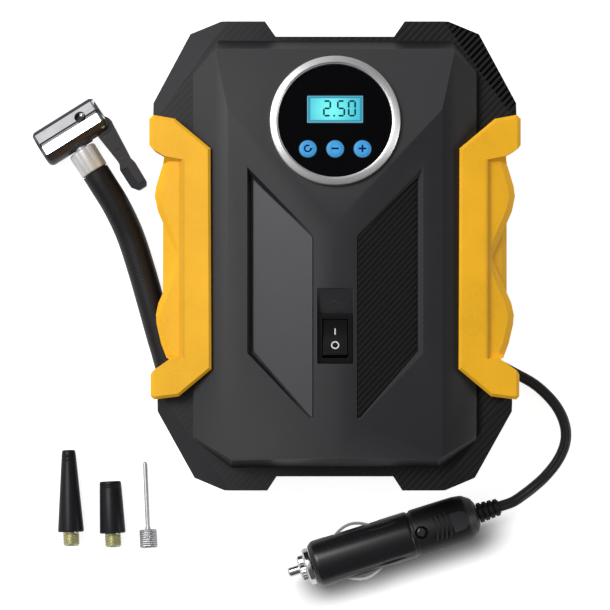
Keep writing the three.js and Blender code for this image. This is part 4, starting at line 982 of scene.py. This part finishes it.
def rib_panel(shape):
    """Cuts slanting ribs into the top face of the panel."""
    normal = Vector((-math.sin(STRIPE_SLOPE), math.cos(STRIPE_SLOPE), 0))
    pitch = PANEL_PITCH * MM
    top = max(shape.faces, key=lambda f: f.normal.z * f.calc_area())
    slope = top.normal.copy()
    plane_at = top.verts[0].co.copy()
    spots = [v.co.dot(normal) / pitch for v in top.verts]

    def on_top(face):
        same = face.normal.dot(slope) > 0.999
        return same and abs((face.verts[0].co - plane_at).dot(slope)) < 2e-5

    for k in range(math.floor(min(spots)), math.ceil(max(spots)) + 1):
        for part in (0.0, 0.3, 0.68):
            faces = [f for f in shape.faces if on_top(f)]
            edges = list({e for f in faces for e in f.edges})
            verts = list({v for f in faces for v in f.verts})
            spot = normal * ((k + part) * pitch)
            geom = verts + edges + faces
            bmesh.ops.bisect_plane(shape, geom=geom, dist=1e-7, plane_co=spot, plane_no=normal)
    for v in {v for f in shape.faces if on_top(f) for v in f.verts}:
        phase = (v.co.dot(normal) / pitch) % 1.0
        if phase < 0.02 or phase > 0.98:
            v.co.z -= PANEL_DEPTH * MM
        elif phase < 0.28 or phase > 0.7:
            near = phase / 0.3 if phase < 0.3 else (1 - phase) / 0.32
            v.co.z -= PANEL_DEPTH * MM * (1 - near)


def recess_screws(obj):
    """Cuts the counterbores of the case screws into the back."""
    r, top = SCREW_RECESS_R, SCREW_RECESS_TOP
    for x, y in BACK_SCREWS:
        tool = lathe("tool", [(0, -2), (r, -2), (r, top), (0, top)], obj.data.materials[0], "z", 40)
        cut(obj, placed(tool, at_mm(x, y, 0)))
    return obj


def make_case(look):
    dressed("front_case", look["shell"], "shell", 0.4)
    rear = dressed("rear_case", look["shell"], "shell", 0)
    bevelled(recess_screws(rear), 0.4, 3, 20)
    for side in ("right", "left"):
        dressed("grip_" + side, look["grip"], "grip", 0.5, 16)
    dressed("panel_left", look["panel"], "panel", 0.2)
    dressed("panel_right", look["ribbed"], "panel", 0, work=rib_panel)


def make_back(look):
    """Rubber feet, and cross-head screws that hold the two halves of the case, sunk in the back."""
    pad = [(0, 0.25), (2.6, 0.25), (3.0, 0), (4.2, 0), (5, 0.8), (5, 3.1), (0, 3.1)]
    for i, (x, y) in enumerate(BACK_FEET):
        foot = lathe(f"foot_pad_{i + 1}", filleted(pad, 0.35, 3), look["rubber"], "z", 48)
        finished(placed(foot, at_mm(x, y, 0)), "case", "rubber", f"foot_{i + 1}")
    low = CASE_BACK + 0.25
    rear = SCREW_RECESS_TOP + 0.2
    profile = filleted([(0, low), (1.7, low + 0.08), (2.6, low + 0.55), (2.7, rear), (0, rear)], 0.2, 3)
    for i, (x, y) in enumerate(BACK_SCREWS):
        head = lathe(f"case_screw_{i + 1}", profile, look["zinc"], "z", 40)
        cut(head, prism("cross", cross_outline(1.5, 0.32), low - 1, low + 0.75, look["zinc"]))
        shade_smooth(head.data, 30)
        finished(placed(head, at_mm(x, y, 0)), "case", "steel")


# ---- gauge

WINDOW_R = 24.2
KEYS = [("reset", -11.7), ("minus", 0.0), ("plus", 11.7)]
KEY_Y = -12.1
KEY_R = 3.55
SEGMENTS = {"2": "abged", "5": "afgcd", "0": "abcdef"}
READING = (("2", -4.8), ("5", 1.2), ("0", 5.85))  # each digit, and where its left side is
DIGIT_W = 2.75
DIGIT_H = 6.35
DIGIT_Y = DISPLAY_Y - DIGIT_H / 2 + 0.3
BAR = 0.78  # width of a segment


def segment_outline(a, b):
    """A thin bar between two points, pointed at both ends."""
    along = (Vector(b) - Vector(a)).normalized()
    side = Vector((-along.y, along.x)) * BAR / 2
    s = Vector(a) + along * 0.12
    e = Vector(b) - along * 0.12
    inner_s = s + along * BAR / 2
    inner_e = e - along * BAR / 2
    return [tuple(p) for p in (s, inner_s - side, inner_e - side, e, inner_e + side, inner_s + side)]


def digit_segments(digit, x, y):
    h = y + DIGIT_H / 2
    top = y + DIGIT_H
    w = x + DIGIT_W
    ends = {
        "a": ((x, top), (w, top)),
        "b": ((w, top), (w, h)),
        "c": ((w, h), (w, y)),
        "d": ((x, y), (w, y)),
        "e": ((x, h), (x, y)),
        "f": ((x, top), (x, h)),
        "g": ((x, h), (w, h)),
    }
    return [segment_outline(*ends[key]) for key in SEGMENTS[digit]]


def display_outline(inset, r):
    x = DISPLAY_X_HALF - inset
    y = DISPLAY_Y_HALF - inset
    return rounded_rectangle(-x, x, DISPLAY_Y - y, DISPLAY_Y + y, r)


def make_display(look):
    back = rounded_rectangle(-14, 14, DISPLAY_Y - 7.6, DISPLAY_Y + 7.6, 0.6)
    body = prism("display_body", back, -4.5, -1.3, look["dark"])
    glass = prism("display_glass", display_outline(GLASS_INSET, 0.25), -2, 0.55, look["display"])
    screen = bevelled(joined("display_module", [body, glass]), 0.12, 2, 40)
    finished(placed(screen, GAUGE), "case", "display", "lcd_module")
    marks = [outline for digit, x in READING for outline in digit_segments(digit, x, DIGIT_Y)]
    marks.append(circle(0.46, 12, -0.4, DIGIT_Y))
    parts = [prism("segment", outline, 0.5, 0.58, look["digits"]) for outline in marks]
    finished(placed(joined("display_digits", parts), GAUGE), "case", "display")


def key_symbol(kind):
    """Outlines of the mark on a key."""
    w = 0.4
    if kind == "minus":
        return [[(-1.6, -w), (1.6, -w), (1.6, w), (-1.6, w)]]
    if kind == "plus":
        return [cross_outline(1.6, w)]
    ring = arc(0, 0, 1.7, 60, 350, 20) + arc(0, 0, 1.0, 350, 60, 20)
    return [ring, [(1.35, -1.1), (2.15, 0.2), (0.65, 0.2)]]


def pierced_plate(name, loops, low, top, look):
    """A flat plate: an outline, and openings in it."""
    shape = bmesh.new()
    edges = []
    for loop in loops:
        verts = [shape.verts.new((x * MM, y * MM, top * MM)) for x, y in loop]
        edges += [shape.edges.new((verts[i - 1], verts[i])) for i in range(len(verts))]
    bmesh.ops.triangle_fill(shape, use_beauty=True, use_dissolve=True, edges=edges)
    made = bmesh.ops.extrude_face_region(shape, geom=list(shape.faces))
    for v in [g for g in made["geom"] if isinstance(g, bmesh.types.BMVert)]:
        v.co.z = low * MM
    bmesh.ops.recalc_face_normals(shape, faces=shape.faces)
    plate = from_bmesh(name, shape, look)
    shade_smooth(plate.data, 35)
    return plate


def make_key(kind, x, look):
    foot = [(0, -3.6), (4.7, -3.6), (4.7, -2.4), (KEY_R, -2.4)]
    cap = filleted([(KEY_R, -2.0), (KEY_R, 1.35), (2.6, 1.6), (0, 1.5)], 0.45, 4)
    key = lathe("key_" + kind, foot + cap, look["button"], "z", 64)
    body = kind + "_button"
    spot = GAUGE @ at_mm(x, KEY_Y, 0)
    finished(placed(key, spot), body, "button", "button_" + kind)
    marks = [prism("mark", outline, 1.3, 1.6, look["symbol"]) for outline in key_symbol(kind)]
    finished(placed(joined("symbol_" + kind, marks), spot), body, "button")


def make_gauge(look):
    face = [(28, 2.1), (27.7, 2.45), (25.3, 3.05), (25.1, 2.95), (25.0, 2.5), (24.5, 2.4)]
    profile = filleted([(24.5, -4.4), (28, -4.4)] + face, 0.14, 2, True)
    ring = lathe("gauge_bezel_ring", profile, look["bezel"], "z", 160, 30)
    finished(placed(ring, GAUGE), "case", "chrome", "gauge_ring")
    openings = [display_outline(0, 0.4)] + [circle(KEY_R + 0.3, 48, x, KEY_Y) for _, x in KEYS]
    window = pierced_plate("gauge_window", [circle(WINDOW_R, 128)] + openings, -1, 0.95, look["window"])
    bevelled(window, 0.12, 2, 40)
    finished(placed(window, GAUGE), "case", "black_plastic", "gauge_face")
    make_display(look)
    for kind, x in KEYS:
        make_key(kind, x, look)


# ---- rocker switch

ROCKER_HALF = 5.25  # half the rocker's width
DISH_HALF = 7.75  # half the length of its dished face


def on_rocker(y):
    """Height of the rocker's dished face over its pivot."""
    return 2.1 + 1.3 * (abs(y) / DISH_HALF) ** 1.6


def switch_outline(half_x, half_y, r):
    return rounded_rectangle(-half_x, half_x, SWITCH_Y - half_y, SWITCH_Y + half_y, r)


def make_switch_frame(look):
    black = look["switch"]
    hole = switch_outline(5.55, 8.45, 0.4)
    body = switch_outline(6.2, 9.4, 0.6)
    flange = switch_outline(7.4, 10.45, 0.6)
    pieces = [
        frame_block("flange", flange, hole, SWITCH_TOP - 2, SWITCH_TOP, black),
        frame_block("sleeve", body, hole, 58, SWITCH_TOP - 1.9, black),
        prism("base", body, 56.4, 58.1, black),
    ]
    for y in (SWITCH_Y - 5, SWITCH_Y + 5):
        blade = rounded_rectangle(-2.4, 2.4, y - 0.4, y + 0.4, 0.2, 2)
        pieces.append(prism("blade", blade, 53, 56.6, look["brass"]))
    housing = bevelled(joined("switch_frame", pieces), 0.3, 3, 40)
    finished(housing, "case", "black_plastic", "switch_housing")


def printed_mark(name, loops, look):
    """A thin printed mark that follows the rocker's dished face: an outline, or a ring of two."""
    lift = 0.02
    thick = 0.08
    levels = [(loops[0], lift), (loops[0], -thick)]
    levels += [(loop, z) for loop in loops[1:] for z in (-thick, lift)]
    rings = [[(x, y, on_rocker(y) + z) for x, y in loop] for loop, z in levels]
    mark = skin(name, rings, look["white"], looped=len(loops) > 1)
    finished(placed(mark, ROCKER), "rocker", "black_plastic")


def make_switch(look):
    make_switch_frame(look)
    # the rocker's side, as (along the switch, up) points round its pivot
    side = filleted([(-7.3, -2.2), (-3, -4), (3, -4), (7.3, -2.2), (7.9, 0.4), (DISH_HALF, 3.4)], 0.5, 2)
    side += [(y, on_rocker(y)) for y in (6.6, 5, 3.3, 1.6, 0, -1.6, -3.3, -5, -6.6)]
    side += filleted([(-7.0, 3.0), (-DISH_HALF, 3.4), (-7.9, 0.4), (-7.6, -0.8)], 0.3, 2)
    rings = [[(x, y, z) for y, z in side] for x in (-ROCKER_HALF, ROCKER_HALF)]
    key = bevelled(skin("rocker_key", rings, look["switch"]), 0.25, 3, 35)
    finished(placed(key, ROCKER), "rocker", "black_plastic", "switch_rocker")
    printed_mark("mark_on", [rounded_rectangle(-0.28, 0.28, 1.3, 3.9, 0.15, 3)], look)
    printed_mark("mark_off", [circle(r, 36, 0, -3.3) for r in (1.75, 1.2)], look)


# ---- chuck

CHUCK_FLATS = [(31, 6.79), (12, 6.93)]  # (lean of a flat's face, its distance from the axis)
SLOT_HALF = 3.8  # the slot that the lever swings in
PORT = at_mm(22.9, 0, 0) @ turned(-30, "X")  # the hole with the release ball
PIN = (29.2, -5.6)  # the lever's pin
LEVER_HALF = 3.5  # half the lever's thickness


def chuck_flats(angle, r, along):
    """Radius of the chuck with flats planed along its top, and a groove between the two main ones."""
    if r < 6.5:
        return r
    y = math.cos(angle)
    z = math.sin(angle)
    reach = r
    for lean, distance in CHUCK_FLATS:
        facing = y * math.sin(math.radians(lean)) + z * math.cos(math.radians(lean))
        if facing > 0.2:
            reach = min(reach, (distance - CHUCK_R + r) / facing)
    if z > 0 and 0.8 < reach * y < 2.3 and r > CHUCK_R - 0.1:
        reach -= 0.9
    return reach


def crimp_flutes(angle, r, along):
    """Radius of the ferrule with shallow flutes pressed into its outside."""
    if r < 5.2:
        return r
    return r + 0.4 * abs(math.cos(4 * angle)) - 0.28


def chuck_shell(look):
    mouth = [(0, 3.5), (5.2, 3.5), (5.2, 0.2), (7.2, 0), (CHUCK_R, 1.4)]
    rear = [(CHUCK_R, 30.4), (7.4, CHUCK_LONG), (0, CHUCK_LONG)]
    profile = filleted(mouth + rear, 0.7, 4)
    shell = lathe("chuck_shell", profile, look["flanks"], "x", 180, 20, chuck_flats)
    port = lathe("port", [(0, 4.4), (2.5, 4.4), (2.5, 12), (0, 12)], look["rubber"], "z", 40)
    cut(shell, placed(port, PORT))
    outline = [(22, -20), (60, -20), (60, -0.4), (24, -0.4), (24, -5.6), (22, -5.6)]
    cut(shell, prism("slot", outline, -SLOT_HALF, SLOT_HALF, look["chrome"]))
    bevelled(shell, 0.25, 2, 50, harden=False)
    shade_smooth(shell.data, 20)
    return shell


def make_chuck(look):
    pieces = []

    def add(piece, slot, *nodes):
        pieces.append(finished(placed(piece, CHUCK), "case", slot, *nodes))

    add(chuck_shell(look), "chrome", "chuck_body")
    ball = lathe("chuck_ball", ball_profile(1.3), look["chrome"], "z", 40)
    add(placed(ball, PORT @ at_mm(1.1, 0.2, 6.0)), "chrome")
    ring = filleted([(2.6, 0.9), (4.9, 0.9), (4.9, 3.4), (2.6, 3.4)], 0.5, 4, True)
    add(lathe("chuck_seal_ring", ring, look["rubber"], "x", 64), "rubber", "chuck_seal")
    crimp = [(0, 0), (5.4, 0), (6.25, 0.5), (6.25, 10.8), (5.3, 11.5), (2.9, 11.5), (2.9, 16), (0, 16)]
    sleeve = lathe("crimp_sleeve", filleted(crimp, 0.6, 3), look["crimp"], "z", 128, wobble=crimp_flutes)
    add(placed(sleeve, at_mm(FERRULE_X, -CHUCK_R - 12, 0) @ turned(-90, "X")), "chrome", "hose_ferrule")
    pieces.append(make_lever(look))
    bar = filleted([(0, -6.2), (1.05, -6.2), (1.05, 6.2), (0, 6.2)], 0.3, 3)
    pin = lathe("chuck_hinge_pin", bar, look["steel"], "z", 32)
    add(placed(pin, at_mm(*PIN, 0)), "steel", "chuck_pin")
    pieces.append(NODES["chuck_plunger"])
    return pieces


def make_lever(look):
    """The chuck's lever: a tapering arm round the pin, and a thicker pad for the thumb at its end."""
    x, y = PIN
    half = LEVER_HALF

    def shifted(points):
        return [(x + u, y + v) for u, v in points]

    arm = [(-4.4, -1), (-3.6, -8), (-2.6, -17), (-3.0, -21), (2.6, -21), (3.2, -17), (3.8, -9), (4.4, -1)]
    head = arc(x, y, 4.6, 0, 180, 24)
    outline = head + filleted([head[-1]] + shifted(arm) + [head[0]], 1.2, 4)[1:-1]
    blade = prism("blade", outline, -half + 0.5, half - 0.5, look["lever"])
    pad = [(-2.7, -18.2), (-3.9, -20.4), (-3.8, -29.6), (-1.4, -32.6)]
    pad += [(2.4, -32.6), (3.5, -31), (3.7, -21), (3.2, -18.6)]
    thumb = prism("thumb", filleted(shifted(pad), 0.5, 3, True), -half, half, look["paddle"])
    spine = [(-0.6, -16), (3.0, -17.5), (3.4, -21), (3.2, -29.6), (0.2, -30.2)]
    ridge = prism("ridge", filleted(shifted(spine), 0.4, 3, True), 0, half + 0.02, look["lever"])
    disc = [(0, 0), (3.6, 0), (3.6, half - 0.1), (0, half - 0.1)]
    boss = placed(lathe("boss", disc, look["lever"], "z", 48), at_mm(x, y, 0))
    web = filleted(shifted([(-2.2, -4), (2.6, -4), (1.9, -12), (-1.4, -12)]), 0.6, 3, True)
    rib = prism("web", web, 0, half - 0.15, look["lever"])
    # the thumb pad's own top slopes away from the ridge
    for vertex in thumb.data.vertices:
        if vertex.co.z > 0:
            vertex.co.z -= max(0.0, (x + 0.6) * MM - vertex.co.x) * 0.45
    lever = bevelled(joined("chuck_lever_arm", [blade, thumb, ridge, boss, rib]), 0.45, 3, 35)
    return finished(placed(lever, CHUCK), "lever", "black_plastic", "chuck_lever")


# ---- plug

SCREW_X = 62.0
LEAF_START = 20.5
LEAF_END = 45.0
LEAF_HALF = 2.2
LEAF_THICK = 0.95
LEAF_LEVEL = 7.4
LEAF_TOP = 13.1
SLOT_ROOM = 1.5  # the slot is this much longer than the leaf at each end


def plug_barrel(look):
    profile = [(0, 11.5), (8.7, 11.5), (10.3, 13.5), (PLUG_R, 14.6), (PLUG_R, 57.0), (10.0, 58), (0, 58)]
    barrel = lathe("plug_barrel_shell", filleted(profile, 0.45, 3), look["plug"], "x", 96)
    slot = rounded_rectangle(LEAF_START - SLOT_ROOM, LEAF_END + SLOT_ROOM, -2.5, 2.5, 2.4)
    for side in (-1, 1):
        rings = [[(x, y, z) for x, z in slot] for y in sorted((4 * side, 14 * side))]
        cut(barrel, skin("tool", rings, look["plug"]))
    # shallow scoops that lead out of the slots towards the rear
    for side in (-1, 1):
        scoop = lathe("scoop", ball_profile(1.0, 24), look["plug"], "z", 48)
        spot = turned(38 * side, "X") @ at_mm(46, side * 11.9, 0) @ Matrix.Diagonal((9.5, 2.0, 2.6, 1))
        cut(barrel, placed(scoop, spot))
    shade_smooth(barrel.data, 35)
    return barrel


def knurl(angle, r, along):
    """Radius of the ring nut with teeth round its narrow part."""
    depth = 0.24 if 4.8 < r < 6.5 else 0
    return r - depth * (0.5 + 0.5 * math.cos(30 * angle))


def make_plug(look):
    pieces = []

    def add(piece, body, slot, *nodes):
        pieces.append(finished(placed(piece, PLUG), body, slot, *nodes))

    add(plug_barrel(look), "case", "black_plastic", "plug_barrel")
    add(plug_grip(look), "case", "black_plastic", "plug_grip")
    nut = [(2.9, 5.4), (4.9, 5.4), (5.8, 6.1), (5.9, 8.3), (7.7, 8.6), (8.3, 9.2), (8.3, 11.2), (2.9, 11.2)]
    nut = filleted(nut, 0.3, 3, True)
    add(lathe("plug_ring_nut", nut, look["ring_nut"], "x", 120, wobble=knurl), "case", "chrome", "plug_ring")
    pin = filleted([(0, 0), (1.3, 0), (2.2, 0.8), (2.2, 12.6), (2.65, 12.9), (2.65, 16), (0, 16)], 0.5, 4)
    add(lathe("plug_tip_pin", pin, look["chrome"], "x", 48), "tip_contact", "chrome", "plug_tip")
    # the lower leaf lies in the plug's shadow and takes the paler crimp metal: painted light on what is the
    # same spring metal as the upper leaf
    for side, name, kind in ((1, "upper", "spring"), (-1, "lower", "crimp")):
        leaf = contact_leaf("leaf_" + name, side, look[kind])
        add(leaf, name + "_leaf", "chrome", "contact_" + name)
    add(lead_relief(look), "case", "rubber", "plug_relief")
    add(plug_screw(look), "case", "steel", "plug_screw")
    return pieces


def plug_grip(look):
    profile = [(0, 57.5), (9.7, 57.5), (9.75, 58.9), (10.4, 59.3), (PLUG_R, 60.4), (PLUG_R, 79)]
    profile += [(9.9, 83.4), (7.4, 87), (4.6, 88.4), (0, 88.4)]
    grip = lathe("plug_grip_shell", filleted(profile, 0.7, 4), look["plug_grip"], "x", 96)
    recess = lathe("recess", [(0, 7.4), (2.8, 7.4), (3.1, 12), (0, 12)], look["plug_grip"], "z", 40)
    cut(grip, placed(recess, at_mm(SCREW_X, 0, 0)))
    # four bowed ribs on top, and a raised tongue behind them
    relief = [bowed_bar("rib", 67.6 + 2.1 * k, 5.6, 0.38, 7.4, 10.75, look["plug_grip"]) for k in range(4)]
    tongue = [(76.2, -4.4), (79.5, -4.3)] + arc(79.5, 0, 4.3, -80, 80, 16) + [(79.5, 4.3), (76.2, 4.4)]
    relief.append(prism("tongue", filleted(tongue, 0.4, 2, True), 7.4, 10.7, look["tongue"]))
    for piece in relief:
        bake_modifiers(bevelled(piece, 0.2, 2, 40))
    shade_smooth(grip.data, 35)
    return joined("plug_grip_body", [grip] + relief)


def bowed_bar(name, x, reach, half, low, high, look):
    """A thin upright bar across the plug, bowed towards the rear in the middle."""
    spots = [-1 + 2 * k / 12 for k in range(13)]
    bows = [(x + 1.5 * (1 - t * t), reach * t) for t in spots]
    outline = [(u - half, v) for u, v in bows] + [(u + half, v) for u, v in bows[::-1]]
    return prism(name, outline, low, high, look)


def plug_screw(look):
    cap = filleted([(0, 7.7), (2.5, 7.7), (2.5, 8.7), (1.6, 9.15), (0, 9.2)], 0.3, 3)
    head = lathe("head", cap, look["screw"], "z", 48)
    shank = lathe("shank", [(0, 0.6), (1.1, 0.6), (1.1, 8), (0, 8)], look["screw"], "z", 24)
    cut(head, prism("cross", cross_outline(1.8, 0.45), 7.9, 10, look["screw"]))
    shade_smooth(head.data, 30)
    return placed(joined("plug_cross_screw", [head, shank]), at_mm(SCREW_X, 0, 0))


def contact_leaf(name, side, look):
    """A bowed spring leaf, rounded over its width."""
    steps = 40
    rise = LEAF_TOP - LEAF_LEVEL
    long = LEAF_END - LEAF_START
    crown = [(-1, 0.25), (-0.6, 0.0), (0, -0.05), (0.6, 0.0), (1, 0.25)]
    over = [(LEAF_HALF * share, down) for share, down in crown]
    section = over + [(z, down + LEAF_THICK) for z, down in over[::-1]]
    rings = []
    for t in (i / steps for i in range(steps + 1)):
        x = LEAF_START + t * long
        level = LEAF_LEVEL + rise * math.sin(math.pi * t)
        tilt = math.atan(rise * math.pi * math.cos(math.pi * t) / long)
        ring = []
        for z, down in section:
            px = min(max(x + down * math.sin(tilt), LEAF_START), LEAF_END)
            ring.append((px, side * (level - down * math.cos(tilt)), z))
        rings.append(ring)
    return skin(name, rings, look, 50)


def lead_relief(look):
    profile = [(0, 88.6), (4.2, 88.6)]
    for i in range(4):
        x = 88.7 + 2.5 * i
        r = 4.5 - 0.2 * i
        profile += filleted([(r - 0.75, x), (r, x + 0.12), (r, x + 1.85), (r - 0.75, x + 1.95)], 0.2, 2)
        profile.append((r - 0.8, x + 2.4))
    profile.append((0, 98.7))
    return lathe("lead_relief", profile, look["rubber"], "x", 48)


# ---- nozzles

CONES = (  # name, place, radius of the foot, of the tip, length, radius of the bore
    ("long", LONG_NOZZLE, 5.8, 2.7, 36.6, 1.3),
    ("short", SHORT_NOZZLE, 5.8, 4.5, 23.2, 2.2),
)


def thread_profile():
    """Outer side of a brass insert, with its thread cut as fine rings."""
    points = [(1.6, -6.2), (2.9, -6.2), (3.3, -5.7)]
    y = -5.3
    while y < -0.9:
        points += [(3.75, y), (3.35, y + 0.33)]
        y += 0.66
    return points + [(3.6, -0.5), (3.6, -0.2), (3.1, -0.1), (3.1, 4.6), (1.6, 4.6)]


def cone_profile(base, tip, length, bore):
    """A cone nozzle: a rounded foot, a straight taper with two faint rings near the tip, and its bore."""
    outer = [(3.4, 0.0), (base - 0.5, 0.0), (base, 0.5), (base - 0.05, 1.4)]
    for t in (0.86, 0.9):
        r = base + (tip + 0.3 - base) * t
        outer += [(r + 0.02, length * t), (r - 0.1, length * t + 0.25), (r, length * t + 0.5)]
    outer += [(tip + 0.3, length - 0.7), (tip + 0.05, length - 0.15), (tip - 0.35, length)]
    return outer + [(bore + 0.25, length), (bore, length - 0.5), (bore, 4.0), (3.4, 4.0)]


def make_nozzles(look):
    for name, place, base, tip, length, bore in CONES:
        body = name + "_nozzle"
        cone = lathe("cone_" + name, cone_profile(base, tip, length, bore), look["nozzle"], "y", 80)
        finished(placed(cone, place), body, "black_plastic", "nozzle_" + name)
        insert = lathe("thread_" + name, thread_profile(), look["brass"], "y", 64, 20)
        finished(placed(insert, place), body, "brass", "nozzle_" + name + "_thread")
    base = [(0, -9), (1.1, -9), (1.1, -7.6), (3.3, -7.6), (3.5, -9), (3.9, -8.6)]
    base += [(3.9, -1.2), (3.6, -0.9), (0, -0.7)]
    shaft = [(0, -1.5), (1.3, -1.5), (1.3, -0.2), (0.98, 0.4), (0.98, 28.3), (0.6, 29.4), (0, 29.6)]
    knob = lathe("knob", filleted(base, 0.3, 3), look["knurled"], "y", 64, 40)
    tube = lathe("tube", filleted(shaft, 0.3, 3), look["shaft"], "y", 48, 40)
    needle = joined("needle_turned", [knob, tube])
    finished(placed(needle, NEEDLE), "ball_needle", "chrome", "needle")


# ---- lead's gland and strap, and the inside

GLAND_RINGS = 5
STRAP_THICK = 0.6
STRAP_HALF = 4
CORD_ROOM = 0.3  # between the bundle of turns and its strap


def make_gland(look):
    profile = [(0, 24.3), (2.6, 24.3)]
    for k in range(GLAND_RINGS):
        x = 24.4 + 3.7 * k
        r = 3.0 + 2.0 * (k + 0.6) / GLAND_RINGS
        profile += filleted([(r - 0.7, x), (r, x + 0.3), (r + 0.15, x + 2.4), (r - 0.6, x + 2.8)], 0.3, 3)
    profile += [(4.9, 43.0), (4.9, 43.7), (3.1, 43.7), (3.1, 48), (0, 48)]
    gland = lathe("lead_gland", profile, look["rubber"], "x", 48)
    finished(placed(gland, at_mm(0, COIL_OUT, COIL_TOP_Z)), "case", "rubber", "cord_gland")


def make_strap(look):
    """Hook-and-loop strap round the bundle of turns."""
    room = LEAD_R + CORD_ROOM
    inner = COIL_OUT - COIL_TURNS * COIL_PITCH - room
    outer = COIL_OUT + room
    low = COIL_Z - room
    top = COIL_TOP_Z + room
    s = STRAP_THICK
    out_line = rounded_rectangle(inner - s, outer + s, low - s, top + s, 2.2, 6)
    in_line = rounded_rectangle(inner, outer, low, top, 1.6, 6)
    band = frame_block("bundle_strap", out_line, in_line, -STRAP_HALF, STRAP_HALF, look["strap"])
    # the frame was drawn flat, so it is stood up across the bundle
    finished(placed(band, turned(135, "Z") @ turned(90, "X")), "case", "rubber", "coil_strap")


INNER = {
    "board": ["display_board"],
    "steel": ["motor_can", "motor_armature", "crank_axle", "drive_bracket"],
    "dark": ["motor_end_cap", "cooling_fan", "pressure_sensor"],
    "brass": ["motor_pinion", "hose_fitting", "chuck_plunger"],
    "nylon": ["crank_gear", "piston_rod"],
    "aluminium": ["cylinder", "cylinder_head"],
    "rubber": ["piston_cup", "air_line"],
}


def dress_inner(look):
    """Pieces inside the case keep their CAD shapes and get a material."""
    for kind, nodes in INNER.items():
        for slot in [s for node in nodes for s in NODES[node].material_slots]:
            slot.link = "OBJECT"
            slot.material = look[kind]


# ---- stage and light

FLOOR_HALF = 8.0  # in metres
PLUG_LEAN = (0.954, 0.3)  # cosine and sine of the way the plug points
CAMERA_GLOW = 0.9  # the floor's own light, as the camera sees it
SHADE_GLOW = 0.0  # the same under the plug: a painted shadow patch, in which its real shadow also shows
GLOSS_GLOW = 0.42  # the same, as glossy pieces reflect it
KEY_AT = Vector((-0.75, 0.6, 1.3))
KEY_POWER = 15.0
KEY_SIZE = 0.8
FILL_AT = Vector((1.3, -0.1, 0.5))
FILL_POWER = 4.2
FILL_SIZE = 0.6


def plug_shadow_patch(n, at):
    """1 on the floor just below the plug, where a painted shadow patch turns the floor's glow down."""
    x, y, _ = n.axes(at)
    cosine, sine = PLUG_LEAN
    below = n.plus(n.times(x, sine), n.times(y, -cosine))
    along = n.plus(n.times(x, cosine), n.times(y, sine))
    strip = n.times(n.spread(below, 0.128, 0.136, smooth=True), n.spread(below, 0.1385, 0.155, 1, 0, True))
    reach = n.times(n.spread(along, -0.072, -0.045, smooth=True), n.spread(along, 0.02, 0.048, 1, 0, True))
    return n.times(strip, reach)


def make_floor():
    n, at = material("floor")
    shade = n.mix(n.vary(n.noise(at, 3, 3)), (0.56, 0.56, 0.56), (0.58, 0.58, 0.58))
    path = n.add("ShaderNodeLightPath").outputs
    others = n.most(path["Is Glossy Ray"], path["Is Transmission Ray"])
    # the camera's glow is turned down in the painted shadow patch below the plug
    seen = n.times(path["Is Camera Ray"], n.spread(plug_shadow_patch(n, at), 0, 1, CAMERA_GLOW, SHADE_GLOW))
    glow = n.add("ShaderNodeEmission")
    n.put(glow.inputs["Strength"], n.most(seen, n.times(others, GLOSS_GLOW)))
    diffuse = n.filled("ShaderNodeBsdfDiffuse", shade)
    made = n.show(n.filled("ShaderNodeAddShader", diffuse.outputs[0], glow.outputs[0]))
    h = FLOOR_HALF
    mesh = bpy.data.meshes.new("floor")
    mesh.from_pydata([(-h, -h, 0), (h, -h, 0), (h, h, 0), (-h, h, 0)], [], [[0, 1, 2, 3]])
    mesh.materials.append(made)
    linked("floor", mesh)


def make_lamp(name, place, power, size):
    lamp = bpy.data.lights.new(name, "AREA")
    lamp.shape = "SQUARE"
    lamp.size = size
    lamp.energy = power
    holder = linked(name, lamp)
    holder.location = place
    holder.rotation_euler = (-place).to_track_quat("-Z", "Y").to_euler()


def make_world():
    """A soft light from the upper left, and a low one round the horizon, mostly on the left."""
    world = bpy.data.worlds.new("studio")
    bpy.context.scene.world = world
    world.use_nodes = True
    n = Nodes(world)
    way = n.coords("Generated")
    x, _, z = n.axes(way)
    towards = Vector((-0.6, 0.42, 0.68)).normalized()
    soft = n.spread(n.dot(way, towards), 0.45, 0.98, 0.12, 0.95, smooth=True)
    horizon = n.spread(z, 0.12, 0.32, 1.0, 0.0, smooth=True)
    left = n.spread(n.dot(way, (-0.95, 0.3, 0)), -0.2, 0.9, 0.1, 0.75)
    right = n.spread(x, 0.88, 0.98, 0.0, 0.45)
    level = n.most(soft, n.times(horizon, n.most(left, right)))
    back = n.add("ShaderNodeBackground")
    n.put(back.inputs["Strength"], n.most(level, n.add("ShaderNodeLightPath").outputs["Is Camera Ray"]))
    n.show(back, "ShaderNodeOutputWorld")


def write_sizes():
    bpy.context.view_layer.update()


def main():
    bpy.context.scene.view_settings.view_transform = "Standard"
    make_camera()
    look = make_materials()
    hose, hose_line, cable, lead = make_cords(look)
    make_case(look)
    make_gauge(look)
    make_switch(look)
    chuck = make_chuck(look)
    plug = make_plug(look)
    make_nozzles(look)
    make_back(look)
    make_gland(look)
    make_strap(look)
    dress_inner(look)
    make_floor()
    make_lamp("key", KEY_AT, KEY_POWER, KEY_SIZE)
    make_lamp("fill", FILL_AT, FILL_POWER, FILL_SIZE)
    make_world()
    write_sizes()


main()
